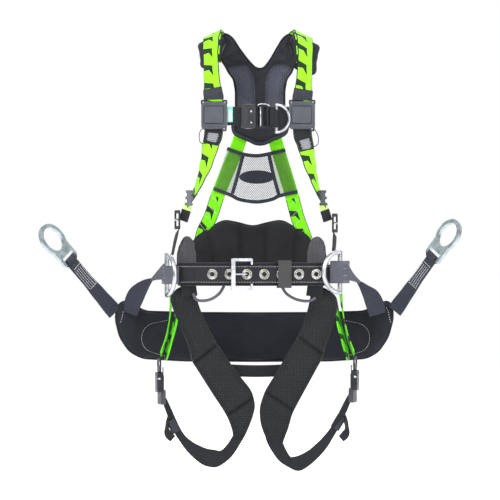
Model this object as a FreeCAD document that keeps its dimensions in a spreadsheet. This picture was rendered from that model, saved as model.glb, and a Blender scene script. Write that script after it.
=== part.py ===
import FreeCAD, Part
import math
import os
import Sketcher
from FreeCAD import Placement, Rotation, Vector

# Full-body climbing harness with a positioning belt and a suspended work seat.
# The origin is the centre of the dorsal ring's eye. +X is the wearer's left side, -Y is the way the
# wearer faces, +Z is up. All lengths are in millimetres.

DIMENSIONS = {
    "webbing_width": 45.0,
    "webbing_thick": 2.5,
    "back_webbing_width": 34.0,
    "loop_width": 43.0,
    "pin_gap": 0.5,
    # dorsal ring and its locator plate
    "dorsal_eye_radius": 26.0,
    "dorsal_outer_radius": 37.0,
    "dorsal_ring_thick": 8.0,
    "dorsal_foot_width": 62.0,
    "dorsal_foot_height": 40.0,
    "dorsal_foot_offset": -36.0,
    "dorsal_slot_width": 48.0,
    "dorsal_slot_height": 12.0,
    "dorsal_slot_offset": -42.0,
    "dorsal_plate_width": 96.0,
    "dorsal_plate_height": 74.0,
    "dorsal_plate_thick": 4.0,
    "dorsal_lug_width": 30.0,
    # chest closure
    "housing_width": 62.0,
    "housing_height": 67.0,
    "housing_depth": 17.0,
    "housing_slot_width": 50.0,
    "housing_slot_depth": 6.0,
    "housing_corner_radius": 7.0,
    "receiver_width": 35.0,
    "receiver_height": 55.0,
    "receiver_depth": 16.0,
    "receiver_mouth_height": 36.0,
    "receiver_mouth_depth": 6.0,
    "receiver_mouth_length": 12.0,
    "tab_pocket_width": 18.0,
    "tab_pocket_depth": 8.0,
    "tab_pocket_height": 8.0,
    "tab_length": 17.0,
    "tab_thick": 7.0,
    "tab_height": 7.0,
    "insert_tongue_length": 9.0,
    "insert_tongue_height": 34.0,
    "insert_tongue_thick": 4.5,
    "insert_frame_length": 30.0,
    "insert_frame_height": 56.0,
    "insert_frame_thick": 5.0,
    "insert_window_length": 8.0,
    "insert_window_height": 47.0,
    "insert_window_pitch": 13.0,
    "chest_ring_radius": 33.0,
    "chest_ring_wire": 3.5,
    # waist belt
    "belt_front_radius": 600.0,
    "belt_half_front": 150.0,
    "belt_corner_radius": 60.0,
    "belt_side_length": 113.0,
    "belt_thick": 3.0,
    "belt_pad_inset": 14.5,
    "belt_pad_thick": 6.0,
    "belt_pad_height": 53.0,
    "grommet_hole_radius": 5.5,
    "grommet_outer_radius": 12.5,
    "grommet_barrel_radius": 7.5,
    "grommet_thick": 1.2,
    "grommet_spacing": 41.5,
    "buckle_width": 54.0,
    "buckle_height": 76.0,
    "buckle_wire": 5.0,
    "buckle_window_width": 39.0,
    "buckle_window_height": 62.0,
    "tongue_radius": 2.0,
    "keeper_length": 32.0,
    "keeper_height": 66.0,
    "keeper_depth": 30.0,
    "keeper_inner_depth": 25.6,
    "keeper_inner_height": 61.6,
    "hip_ring_radius": 48.5,
    "hip_ring_wire": 5.5,
    # torso adjusters
    "adjuster_length": 46.0,
    "adjuster_height": 54.0,
    "adjuster_thick": 4.0,
    "adjuster_window_length": 30.0,
    "adjuster_window_height": 46.0,
    "adjuster_bar_radius": 3.0,
    "lanyard_keeper_width": 24.0,
    "lanyard_keeper_height": 36.0,
    "lanyard_keeper_depth": 34.0,
    # seat
    "seat_radius": 541.0,
    "seat_thick": 18.0,
    "seat_ring_eye_radius": 31.0,
    "seat_ring_outer_radius": 41.0,
    "seat_ring_thick": 8.0,
    "seat_foot_width": 66.0,
    "seat_foot_height": 56.0,
    "seat_foot_offset": -42.0,
    "seat_slot_width": 48.0,
    "seat_slot_height": 12.0,
    "seat_slot_offset": -56.0,
    "arm_thick": 5.0,
    # leg loops
    "leg_pad_thick": 14.0,
    "leg_receiver_width": 52.0,
    "leg_receiver_height": 48.0,
    "leg_receiver_depth": 14.0,
    "leg_mouth_width": 38.0,
    "leg_mouth_depth": 5.0,
    "leg_mouth_length": 18.0,
    "leg_insert_width": 52.0,
    "leg_insert_height": 32.0,
    "leg_insert_thick": 4.0,
    "leg_insert_slot_width": 47.0,
    "leg_insert_slot_height": 10.0,
    "leg_insert_tongue_width": 36.0,
    "leg_insert_tongue_length": 16.0,
}

# Sides of the wearer: the sign of X and how far the upper straps sit off the mirrored place.
SIDES = {"left": -1.0, "right": 1.0}
STRAP_SHIFT = {"left": 0.0, "right": 5.0}

BELT_CENTRE_X = -9.0
BELT_FRONT_Y = -250.0
BELT_Z = -454.0
CHEST_Y = -213.0
CHEST_Z = -74.0
HOUSING_X = {"left": -103.0, "right": 108.5}
HIP_BAR = {"left": Vector(-216.5, -215.0, -456.0), "right": Vector(199.5, -215.0, -449.0)}
HIP_RING_YAW = {"left": -66.0, "right": -144.0}
CHEST_RING_BAR = Vector(46.5, CHEST_Y, -80.0)
BUCKLE_PIVOT = Vector(-13.0, -241.3, BELT_Z)
ADJUSTER_AT = {"left": Vector(-192.0, -178.0, -323.0), "right": Vector(188.0, -178.0, -331.0)}
ARM_FOOT = {"left": Vector(-354.0, -120.0, -536.0), "right": Vector(343.0, -120.0, -531.0)}
RING_EYE = {"left": Vector(-494.0, -150.0, -371.0), "right": Vector(463.0, -150.0, -360.0)}
LEG_BUCKLE = {"left": Vector(-236.0, -172.0, -715.0), "right": Vector(237.0, -172.0, -710.0)}
SEAT_BACK_Y = 16.0

doc = FreeCAD.newDocument("climbing_harness")
sheet = doc.addObject("Spreadsheet::Sheet", "dims")
for row, (alias, value) in enumerate(DIMENSIONS.items(), start=1):
    sheet.set("A%d" % row, alias)
    sheet.set("B%d" % row, str(value))
    sheet.setAlias("B%d" % row, alias)
doc.recompute()

subparts = []


def size(alias):
    """The sheet's value of a driving dimension."""
    return float(sheet.get(alias))


def keep(obj, label, placement=None):
    """Name a finished sub-part and put it in place."""
    obj.Label = label
    if placement is not None:
        obj.Placement = placement
    subparts.append(obj)
    return obj


def basis(origin, x_axis, z_axis):
    """Placement whose local X is x_axis and whose local Z is as near z_axis as it can be."""
    rotation = Rotation(x_axis, Vector(0, 0, 0), z_axis, "XZY")
    return Placement(origin, rotation)


# ---- sketch and body helpers -------------------------------------------------------------------


def origin_plane(body, role):
    """One of the body's own origin planes."""
    return [plane for plane in body.Origin.OriginFeatures if plane.Role == role][0]


def new_sketch(body, name, role):
    """Empty sketch flat on an origin plane of the body."""
    sketch = body.newObject("Sketcher::SketchObject", name)
    sketch.AttachmentSupport = [(origin_plane(body, role), "")]
    sketch.MapMode = "FlatFace"
    return sketch


def bind(sketch, constraint, name, alias):
    """Add a driving constraint and bind it to the sheet."""
    index = sketch.addConstraint(constraint)
    sketch.renameConstraint(index, name)
    sketch.setExpression("Constraints." + name, "dims." + alias)


def add_circle(sketch, tag, radius_alias, offset_alias=None):
    """Circle centred on the sketch's vertical axis, offset_alias above its origin."""
    offset = size(offset_alias) if offset_alias else 0.0
    centre = Vector(0, offset, 0)
    geo = sketch.addGeometry(Part.Circle(centre, Vector(0, 0, 1), size(radius_alias)), False)
    bind(sketch, Sketcher.Constraint("Radius", geo, size(radius_alias)), tag + "_radius", radius_alias)
    if offset_alias:
        sketch.addConstraint(Sketcher.Constraint("PointOnObject", geo, 3, -2))
        rise = Sketcher.Constraint("DistanceY", -1, 1, geo, 3, offset)
        bind(sketch, rise, tag + "_offset", offset_alias)
    else:
        sketch.addConstraint(Sketcher.Constraint("Coincident", geo, 3, -1, 1))


def add_rectangle(sketch, tag, width_alias, height_alias, rise=0.0, shift=0.0, rise_alias=None):
    """Rectangle with its centre shift right of and rise above the sketch's origin."""
    half_width = size(width_alias) / 2.0
    half_height = size(height_alias) / 2.0
    centre_y = size(rise_alias) if rise_alias else rise
    corners = [
        Vector(shift - half_width, centre_y - half_height, 0),
        Vector(shift + half_width, centre_y - half_height, 0),
        Vector(shift + half_width, centre_y + half_height, 0),
        Vector(shift - half_width, centre_y + half_height, 0),
    ]
    edges = []
    for index in range(4):
        line = Part.LineSegment(corners[index], corners[(index + 1) % 4])
        edges.append(sketch.addGeometry(line, False))
    centre = sketch.addGeometry(Part.Point(Vector(shift, centre_y, 0)), True)
    for index in range(4):
        joined = Sketcher.Constraint("Coincident", edges[index], 2, edges[(index + 1) % 4], 1)
        sketch.addConstraint(joined)
    sketch.addConstraint(Sketcher.Constraint("Horizontal", edges[0]))
    sketch.addConstraint(Sketcher.Constraint("Horizontal", edges[2]))
    sketch.addConstraint(Sketcher.Constraint("Vertical", edges[1]))
    sketch.addConstraint(Sketcher.Constraint("Vertical", edges[3]))
    sketch.addConstraint(Sketcher.Constraint("Symmetric", edges[0], 1, edges[1], 2, centre, 1))
    wide = Sketcher.Constraint("DistanceX", edges[0], 1, edges[0], 2, 2 * half_width)
    bind(sketch, wide, tag + "_width", width_alias)
    tall = Sketcher.Constraint("DistanceY", edges[1], 1, edges[1], 2, 2 * half_height)
    bind(sketch, tall, tag + "_height", height_alias)
    if rise_alias:
        sketch.addConstraint(Sketcher.Constraint("PointOnObject", centre, 1, -2))
        lifted = Sketcher.Constraint("DistanceY", -1, 1, centre, 1, centre_y)
        bind(sketch, lifted, tag + "_rise", rise_alias)
    elif rise == 0.0 and shift == 0.0:
        sketch.addConstraint(Sketcher.Constraint("Coincident", centre, 1, -1, 1))
    else:
        sketch.addConstraint(Sketcher.Constraint("DistanceX", -1, 1, centre, 1, shift))
        sketch.addConstraint(Sketcher.Constraint("DistanceY", -1, 1, centre, 1, rise))


def pad(body, sketch, name, length_alias):
    """Symmetric pad of a sketch, as thick as the sheet says."""
    feature = body.newObject("PartDesign::Pad", name)
    feature.Profile = sketch
    feature.Midplane = True
    feature.setExpression("Length", "dims." + length_alias)
    doc.recompute()
    return feature


def pocket(body, sketch, name, length_alias):
    """Symmetric pocket of a sketch; it must take material away."""
    before = body.Shape.Volume
    feature = body.newObject("PartDesign::Pocket", name)
    feature.Profile = sketch
    feature.Midplane = True
    feature.setExpression("Length", "dims." + length_alias)
    doc.recompute()
    if body.Shape.Volume >= before - 1.0:
        raise RuntimeError("the pocket %s cuts nothing" % name)
    return feature


def soften(body, base, name, radius, chosen):
    """Fillet the edges that chosen() picks."""
    names = []
    for index, edge in enumerate(base.Shape.Edges, start=1):
        if chosen(edge):
            names.append("Edge%d" % index)
    feature = body.newObject("PartDesign::Fillet", name)
    feature.Base = (base, names)
    feature.Radius = radius
    doc.recompute()
    return feature


def runs_along(edge, direction):
    """True for a straight edge along direction."""
    if edge.Curve.TypeId != "Part::GeomLine":
        return False
    return abs(edge.Curve.Direction.dot(direction)) > 0.999


# ---- free-form helpers -------------------------------------------------------------------------


def free_form(label, shape):
    """Sub-part whose shape is a lofted, swept or cut solid."""
    feature = doc.addObject("Part::Feature", label)
    feature.Shape = shape
    return keep(feature, label)


def ribbon(stations, width, thick):
    """Band of webbing through stations, each a point and the way its face looks there."""
    count = len(stations)
    sections = []
    for index in range(count):
        point = Vector(*stations[index][0])
        before = Vector(*stations[max(index - 1, 0)][0])
        after = Vector(*stations[min(index + 1, count - 1)][0])
        along = (after - before).normalize()
        across = along.cross(Vector(*stations[index][1])).normalize()
        face = across.cross(along).normalize()
        side = across * (width / 2.0)
        depth = face * (thick / 2.0)
        ring = [point - side - depth, point + side - depth, point + side + depth, point - side + depth]
        sections.append(Part.makePolygon(ring + [ring[0]]))
    return Part.makeLoft(sections, True, True)


def mirrored(stations, sign):
    """The stations given for the wearer's left side, on the side that sign names."""
    return [((sign * p[0], p[1], p[2]), (sign * n[0], n[1], n[2])) for p, n in stations]


def shifted(stations, amounts):
    """Stations moved along X by one amount each."""
    return [((p[0] + d, p[1], p[2]), n) for (p, n), d in zip(stations, amounts)]


def prism_y(outline, y_front, y_back):
    """Solid between two Y planes with a closed outline of (x, z) points."""
    points = [Vector(x, y_front, z) for x, z in outline]
    face = Part.Face(Part.makePolygon(points + [points[0]]))
    return face.extrude(Vector(0, y_back - y_front, 0))


def belt_wire(inset, z):
    """Plan of the belt line, inset towards the wearer: bowed front, round corners, flat back."""
    front_radius = size("belt_front_radius")
    half = size("belt_half_front")
    corner = size("belt_corner_radius")
    turn = math.asin(half / front_radius)
    bow_y = BELT_FRONT_Y + front_radius
    corner_x = half - corner * math.sin(turn)
    corner_y = bow_y - (front_radius - corner) * math.cos(turn)
    back_y = corner_y + size("belt_side_length")
    small = corner - inset
    large = front_radius - inset

    def at(x, y):
        return Vector(BELT_CENTRE_X + x, y, z)

    def on_corner(sign, centre_y, angle):
        return at(sign * (corner_x + small * math.cos(angle)), centre_y - small * math.sin(angle))

    steep = math.pi / 2 - turn
    middle = steep / 2
    edges = [
        Part.Arc(on_corner(-1, corner_y, steep), at(0, bow_y - large), on_corner(1, corner_y, steep)),
        Part.Arc(on_corner(1, corner_y, steep), on_corner(1, corner_y, middle), on_corner(1, corner_y, 0)),
        Part.LineSegment(on_corner(1, corner_y, 0), on_corner(1, back_y, 0)),
        Part.Arc(on_corner(1, back_y, 0), on_corner(1, back_y, -math.pi / 4),
                 on_corner(1, back_y, -math.pi / 2)),
        Part.LineSegment(on_corner(1, back_y, -math.pi / 2), on_corner(-1, back_y, -math.pi / 2)),
        Part.Arc(on_corner(-1, back_y, -math.pi / 2), on_corner(-1, back_y, -math.pi / 4),
                 on_corner(-1, back_y, 0)),
        Part.LineSegment(on_corner(-1, back_y, 0), on_corner(-1, corner_y, 0)),
        Part.Arc(on_corner(-1, corner_y, 0), on_corner(-1, corner_y, middle),
                 on_corner(-1, corner_y, steep)),
    ]
    return Part.Wire([edge.toShape() for edge in edges])


def belt_band(inset, thick, z_low, z_high):
    """Band that follows the belt line between two heights."""
    outer = Part.Face(belt_wire(inset, z_low))
    inner = Part.Face(belt_wire(inset + thick, z_low))
    rise = Vector(0, 0, z_high - z_low)
    return outer.extrude(rise).cut(inner.extrude(rise))


def d_ring(label, radius_alias, wire_alias, placement):
    """Round-wire D ring: straight bar on local Z at the origin, half circle on the +X side."""
    arc = doc.addObject("Part::Torus", label + "_arc")
    arc.setExpression("Radius1", "dims." + radius_alias)
    arc.setExpression("Radius2", "dims." + wire_alias)
    arc.Angle3 = 180.0
    arc.Placement = basis(Vector(0, 0, 0), Vector(0, 0, -1), Vector(0, -1, 0))
    bar = doc.addObject("Part::Cylinder", label + "_bar")
    bar.setExpression("Radius", "dims." + wire_alias)
    bar.setExpression("Height", "2 * dims." + radius_alias)
    bar.setExpression("Placement.Base.z", "-dims." + radius_alias)
    parts = [arc, bar]
    for name, sign in (("_low", "-"), ("_high", "")):
        corner = doc.addObject("Part::Sphere", label + name)
        corner.setExpression("Radius", "dims." + wire_alias)
        corner.setExpression("Placement.Base.z", sign + "dims." + radius_alias)
        parts.append(corner)
    ring = doc.addObject("Part::MultiFuse", label)
    ring.Shapes = parts
    doc.recompute()
    return keep(ring, label, placement)


def web_eye(centre, axis, inner, outer, width):
    """Sleeve of webbing round a bar."""
    start = centre - axis * (width / 2.0)
    sleeve = Part.makeCylinder(outer, width, start, axis)
    return sleeve.cut(Part.makeCylinder(inner, width, start, axis))


# ---- back yoke and shoulders -------------------------------------------------------------------

YOKE_FRONT_Y = -28.0
YOKE_BACK_Y = -14.0
YOKE_MIDDLE_X = 8.0
YOKE_HALF_OUTLINE = [
    (0, 46), (12, 51), (30, 72), (44, 93), (57, 106), (72, 108), (84, 94), (86, 66), (76, 36),
    (65, 20), (60, -10), (60, -52), (68, -98), (62, -114), (30, -129), (0, -140),
]
YOKE_OUTLINE = [(YOKE_MIDDLE_X + x, z) for x, z in YOKE_HALF_OUTLINE]
YOKE_OUTLINE += [(YOKE_MIDDLE_X - x, z) for x, z in reversed(YOKE_HALF_OUTLINE[1:-1])]
free_form("yoke_back_pad", prism_y(YOKE_OUTLINE, YOKE_FRONT_Y, YOKE_BACK_Y))

SHOULDER_PAD_ROUTE = [
    ((98, -37, 84), (0.1, 1, 0.1)),
    ((104, -42, 102), (0.25, 1, 0.5)),
    ((109, -56, 113), (0.4, 0.5, 0.9)),
    ((112, -92, 116), (0.45, 0, 0.9)),
    ((113, -126, 110), (0.4, -0.5, 0.85)),
    ((111, -152, 91), (0.6, -0.95, 0.5)),
    ((110, -172, 64), (0.8, -1, 0.25)),
    ((107, -182, 36), (0.7, -1, 0.1)),
]
SHOULDER_PAD_WIDTH = 62.0
SHOULDER_PAD_THICK = 10.0
STRAP_ROUTE = [
    ((38, -7.5, 40), (0, 1, 0)),
    ((62, -7, 78), (0, 1, 0)),
    ((86, -10, 106), (0.1, 1, 0.2)),
    ((98, -26, 124), (0.3, 1, 0.8)),
    ((104, -52, 129), (0.4, 0.4, 0.9)),
    ((107, -92, 130), (0.45, 0, 0.9)),
    ((109, -130, 124), (0.4, -0.5, 0.85)),
    ((111, -164, 104), (0.6, -0.95, 0.5)),
    ((111, -186, 68), (0.8, -1, 0.25)),
    ((109, -198, 20), (0.65, -1, 0.1)),
    ((106, -207, -20), (0.25, -1, 0)),
    ((104, -209, -34), (0, -1, 0)),
    ((104, -209, -110), (0, -1, 0)),
    ((111, -211, -142), (0.5, -1, 0)),
    ((121, -210, -185), (0.9, -0.8, 0)),
    ((134, -205, -222), (1, -0.4, 0)),
    ((149, -197, -256), (1, -0.15, 0)),
    ((168, -187, -287), (1, -0.1, 0.3)),
]
UPPER_SHIFT = [0, 0, 0, 0, 0.4, 0.6, 0.8, 1, 1, 1, 1, 1, 1, 1, 1, 0.5, -0.2, -0.5]
# The right back strap runs a little closer to the spine below the yoke, station by station.
RIGHT_BACK_SHIFT = [0, 3, -9, -14, -18, -10]
BACK_STRAP_ROUTE = [
    ((33.5, -7.5, -72), (0, 1, 0)),
    ((43, -7.5, -130), (0, 1, 0)),
    ((91, -7.5, -249), (0, 1, 0)),
    ((113, -7.5, -313), (0, 1, 0)),
    ((132, -9, -355), (0.1, 1, 0)),
    ((148, -13, -421), (0.35, 1, 0)),
]
for side, sign in SIDES.items():
    pad_solid = ribbon(mirrored(SHOULDER_PAD_ROUTE, sign), SHOULDER_PAD_WIDTH, SHOULDER_PAD_THICK)
    free_form("shoulder_pad_" + side, pad_solid)
    amounts = [STRAP_SHIFT[side] * share for share in UPPER_SHIFT]
    route = shifted(mirrored(STRAP_ROUTE, sign), amounts)
    strap = ribbon(route, size("webbing_width"), size("webbing_thick"))
    free_form("shoulder_strap_" + side, strap)
    back_route = mirrored(BACK_STRAP_ROUTE, sign)
    if side == "right":
        back_route = shifted(back_route, RIGHT_BACK_SHIFT)
    back = ribbon(back_route, size("back_webbing_width"), size("webbing_thick"))
    free_form("back_strap_" + side, back)

# Net panel that ties the two back straps together.
MESH_HALF_TOP = 71.0
MESH_HALF_BOTTOM = 103.0
mesh_outline = [
    (-MESH_HALF_TOP, -144), (-36, -155), (0, -163), (36, -155), (MESH_HALF_TOP, -144),
    (90, -210), (MESH_HALF_BOTTOM, -245), (55, -268), (0, -277), (-55, -268),
    (-MESH_HALF_BOTTOM, -245), (-90, -210),
]
free_form("mesh_panel", prism_y(mesh_outline, -15.0, -12.0))

# Dorsal ring: round eye at the origin, slotted foot below it, all from flat plate.
ring = doc.addObject("PartDesign::Body", "dorsal_d_ring")
sketch = new_sketch(ring, "dorsal_eye", "XZ_Plane")
add_circle(sketch, "outer", "dorsal_outer_radius")
pad(ring, sketch, "dorsal_disc", "dorsal_ring_thick")
sketch = new_sketch(ring, "dorsal_foot", "XZ_Plane")
add_rectangle(sketch, "foot", "dorsal_foot_width", "dorsal_foot_height", rise_alias="dorsal_foot_offset")
foot = pad(ring, sketch, "dorsal_foot_pad", "dorsal_ring_thick")
sketch = new_sketch(ring, "dorsal_openings", "XZ_Plane")
add_circle(sketch, "eye", "dorsal_eye_radius")
pocket(ring, sketch, "dorsal_eye_cut", "dorsal_ring_thick")
sketch = new_sketch(ring, "dorsal_slot", "XZ_Plane")
add_rectangle(sketch, "slot", "dorsal_slot_width", "dorsal_slot_height", rise_alias="dorsal_slot_offset")
last = pocket(ring, sketch, "dorsal_slot_cut", "dorsal_ring_thick")
FOOT_END = size("dorsal_foot_offset") - size("dorsal_foot_height") / 2
last = soften(ring, last, "dorsal_corners", 9.0,
              lambda e: runs_along(e, Vector(0, 1, 0)) and e.CenterOfMass.z < FOOT_END + 1)
keep(ring, "dorsal_d_ring", Placement())
DORSAL_BAR_Z = (FOOT_END + size("dorsal_slot_offset") - size("dorsal_slot_height") / 2) / 2

# Locator plate on the back of the yoke, with a lug that carries the ring's bar.
PLATE_REAR_Y = -9.3
PLATE_LOW_Z = -92.0
plate = Part.makeBox(size("dorsal_plate_width"), size("dorsal_plate_thick"), size("dorsal_plate_height"))
plate_front = PLATE_REAR_Y - size("dorsal_plate_thick")
plate.translate(Vector(-size("dorsal_plate_width") / 2, plate_front, PLATE_LOW_Z))
bar_at = Vector(0, 0, DORSAL_BAR_Z)
lug = web_eye(bar_at, Vector(1, 0, 0), 6.0, 8.6, size("dorsal_lug_width"))
neck = Part.makeBox(size("dorsal_lug_width"), 3.0, 14.0)
neck.translate(Vector(-size("dorsal_lug_width") / 2, PLATE_REAR_Y, DORSAL_BAR_Z - 7.0))
free_form("dorsal_plate", plate.fuse(neck).fuse(lug).removeSplitter())

# ---- chest closure -----------------------------------------------------------------------------

for side, sign in SIDES.items():
    housing = doc.addObject("PartDesign::Body", "slider_housing_" + side)
    sketch = new_sketch(housing, "housing_face_" + side, "XZ_Plane")
    add_rectangle(sketch, "face", "housing_width", "housing_height")
    block = pad(housing, sketch, "housing_block_" + side, "housing_depth")
    block = soften(housing, block, "housing_corners_" + side, size("housing_corner_radius"),
                   lambda e: runs_along(e, Vector(0, 1, 0)))
    sketch = new_sketch(housing, "strap_slot_" + side, "XY_Plane")
    add_rectangle(sketch, "slot", "housing_slot_width", "housing_slot_depth")
    pocket(housing, sketch, "strap_slot_cut_" + side, "housing_height")
    keep(housing, "slider_housing_" + side, Placement(Vector(HOUSING_X[side], -209.0, -72.0), Rotation()))

inner_left = HOUSING_X["left"] + size("housing_width") / 2 + 0.4
inner_right = HOUSING_X["right"] - size("housing_width") / 2 - 0.4
receiver_x = -20.5
receiver_left = receiver_x - size("receiver_width") / 2
BUCKLE_Y = CHEST_Y - (size("webbing_thick") + size("insert_frame_thick")) / 2 - 0.6


def chest_band(x_start, x_end):
    """Level stretch of the chest strap."""
    band = Part.makeBox(x_end - x_start, size("webbing_thick"), size("webbing_width"))
    band.translate(Vector(x_start, CHEST_Y - size("webbing_thick") / 2, CHEST_Z - size("webbing_width") / 2))
    return band


free_form("chest_strap_left", chest_band(inner_left, receiver_left - 0.4))
ring_eye = web_eye(CHEST_RING_BAR, Vector(0, 0, 1), size("chest_ring_wire") + size("pin_gap"), 6.8,
                   size("loop_width"))
eye_core = Part.makeCylinder(size("chest_ring_wire") + size("pin_gap"), 80.0,
                             CHEST_RING_BAR - Vector(0, 0, 40), Vector(0, 0, 1))
chest_right = chest_band(1.5, inner_right).fuse(ring_eye).cut(eye_core).removeSplitter()
free_form("chest_strap_right", chest_right)

receiver = doc.addObject("PartDesign::Body", "chest_buckle_receiver")
sketch = new_sketch(receiver, "receiver_face", "XZ_Plane")
add_rectangle(sketch, "face", "receiver_width", "receiver_height")
block = pad(receiver, sketch, "receiver_block", "receiver_depth")
block = soften(receiver, block, "receiver_corners", 4.0, lambda e: runs_along(e, Vector(0, 1, 0)))
mouth_shift = size("receiver_width") / 2 - size("receiver_mouth_length") / 2 + 0.5
sketch = new_sketch(receiver, "receiver_mouth", "XZ_Plane")
add_rectangle(sketch, "mouth", "receiver_mouth_length", "receiver_mouth_height", shift=mouth_shift)
pocket(receiver, sketch, "receiver_mouth_cut", "receiver_mouth_depth")
for name, way in (("upper", 1.0), ("lower", -1.0)):
    rise = way * (size("receiver_height") / 2 - size("tab_pocket_height") / 2 + 0.5)
    sketch = new_sketch(receiver, "tab_pocket_" + name, "XZ_Plane")
    add_rectangle(sketch, "pocket", "tab_pocket_width", "tab_pocket_height", rise=rise)
    pocket(receiver, sketch, "tab_pocket_cut_" + name, "tab_pocket_depth")
keep(receiver, "chest_buckle_receiver", Placement(Vector(receiver_x, BUCKLE_Y, CHEST_Z - 1.0), Rotation()))

for name, way in (("upper", 1.0), ("lower", -1.0)):
    tab = doc.addObject("Part::Box", "chest_release_tab_" + name)
    tab.setExpression("Length", "dims.tab_length")
    tab.setExpression("Width", "dims.tab_thick")
    tab.setExpression("Height", "dims.tab_height")
    tab_z = CHEST_Z - 1.0 + way * (size("receiver_height") / 2 - size("tab_height") / 2 + 2.2)
    low = Vector(receiver_x - size("tab_length") / 2, BUCKLE_Y - size("tab_thick") / 2,
                 tab_z - size("tab_height") / 2)
    keep(tab, "chest_release_tab_" + name, Placement(low, Rotation()))

insert = doc.addObject("PartDesign::Body", "chest_buckle_insert")
sketch = new_sketch(insert, "insert_frame", "XZ_Plane")
add_rectangle(sketch, "frame", "insert_frame_length", "insert_frame_height")
frame_pad = pad(insert, sketch, "insert_frame_pad", "insert_frame_thick")
frame_pad = soften(insert, frame_pad, "insert_corners", 4.0, lambda e: runs_along(e, Vector(0, 1, 0)))
tongue_shift = -size("insert_frame_length") / 2 - size("insert_tongue_length") / 2 + 0.5
sketch = new_sketch(insert, "insert_tongue", "XZ_Plane")
add_rectangle(sketch, "tongue", "insert_tongue_length", "insert_tongue_height", shift=tongue_shift)
pad(insert, sketch, "insert_tongue_pad", "insert_tongue_thick")
for name, way in (("inner", -1.0), ("outer", 1.0)):
    sketch = new_sketch(insert, "insert_window_" + name, "XZ_Plane")
    window_shift = way * size("insert_window_pitch") / 2
    add_rectangle(sketch, "window", "insert_window_length", "insert_window_height", shift=window_shift)
    pocket(insert, sketch, "insert_window_cut_" + name, "insert_frame_thick")
insert_x = receiver_x + size("receiver_width") / 2 + 0.8 + size("insert_frame_length") / 2
keep(insert, "chest_buckle_insert", Placement(Vector(insert_x, BUCKLE_Y, CHEST_Z - 1.0), Rotation()))

d_ring("chest_d_ring", "chest_ring_radius", "chest_ring_wire",
       Placement(CHEST_RING_BAR, Rotation(Vector(0, 0, 1), -20.0)))

# ---- torso adjusters ---------------------------------------------------------------------------

LOWER_STRAP_DROP = 66.0
for side, sign in SIDES.items():
    at = ADJUSTER_AT[side]
    turned = Rotation(Vector(0, 0, 1), sign * 78.0)
    frame = doc.addObject("PartDesign::Body", "torso_adjuster_" + side)
    sketch = new_sketch(frame, "adjuster_face_" + side, "XZ_Plane")
    add_rectangle(sketch, "face", "adjuster_height", "adjuster_length")
    block = pad(frame, sketch, "adjuster_block_" + side, "adjuster_thick")
    block = soften(frame, block, "adjuster_corners_" + side, 4.0, lambda e: runs_along(e, Vector(0, 1, 0)))
    sketch = new_sketch(frame, "adjuster_window_" + side, "XZ_Plane")
    add_rectangle(sketch, "window", "adjuster_window_height", "adjuster_window_length")
    pocket(frame, sketch, "adjuster_window_cut_" + side, "adjuster_thick")
    keep(frame, "torso_adjuster_" + side, Placement(at, turned))
    bar = doc.addObject("Part::Cylinder", "torso_bar_" + side)
    bar.setExpression("Radius", "dims.adjuster_bar_radius")
    bar.setExpression("Height", "dims.adjuster_window_height - 1")
    along = turned.multVec(Vector(1, 0, 0))
    start = at - along * ((size("adjuster_window_height") - 1) / 2)
    keep(bar, "torso_bar_" + side, Placement(start, Rotation(Vector(0, 0, 1), along)))
    foot_gap = size("adjuster_length") / 2 + 5.0
    lower = [
        ((at.x, at.y, at.z - foot_gap), (sign, -0.2, 0)),
        ((at.x + sign * 6, at.y - 8, at.z - foot_gap - 30), (sign, -0.3, 0)),
        ((at.x + sign * 9, at.y - 14, at.z - foot_gap - LOWER_STRAP_DROP + 20), (sign, -0.4, 0)),
    ]
    free_form("lower_torso_strap_" + side, ribbon(lower, size("webbing_width") - 5, size("webbing_thick")))
    holder = doc.addObject("Part::Box", "lanyard_keeper_" + side)
    holder.setExpression("Length", "dims.lanyard_keeper_width")
    holder.setExpression("Width", "dims.lanyard_keeper_depth")
    holder.setExpression("Height", "dims.lanyard_keeper_height")
    beside = Vector(sign * 160.0 - size("lanyard_keeper_width") / 2, -256.0, -292.0)
    keep(holder, "lanyard_keeper_" + side, Placement(beside, Rotation()))

# ---- waist belt --------------------------------------------------------------------------------

WAIST_OUTLINE = [
    (-200, -482), (-200, -425), (-192, -385), (-174, -362), (-156, -370), (-120, -345), (-82, -322),
    (-45, -330), (-10, -340), (25, -330), (62, -322), (100, -345), (132, -370), (150, -362),
    (168, -385), (176, -425), (176, -482),
]
LUMBAR_INSET = 21.5
LUMBAR_THICK = 16.0
lumbar = belt_band(LUMBAR_INSET, LUMBAR_THICK, -482.0, -320.0)
behind_hips = prism_y(WAIST_OUTLINE, -158.0, 20.0)
free_form("waist_pad", lumbar.common(behind_hips))

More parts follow.
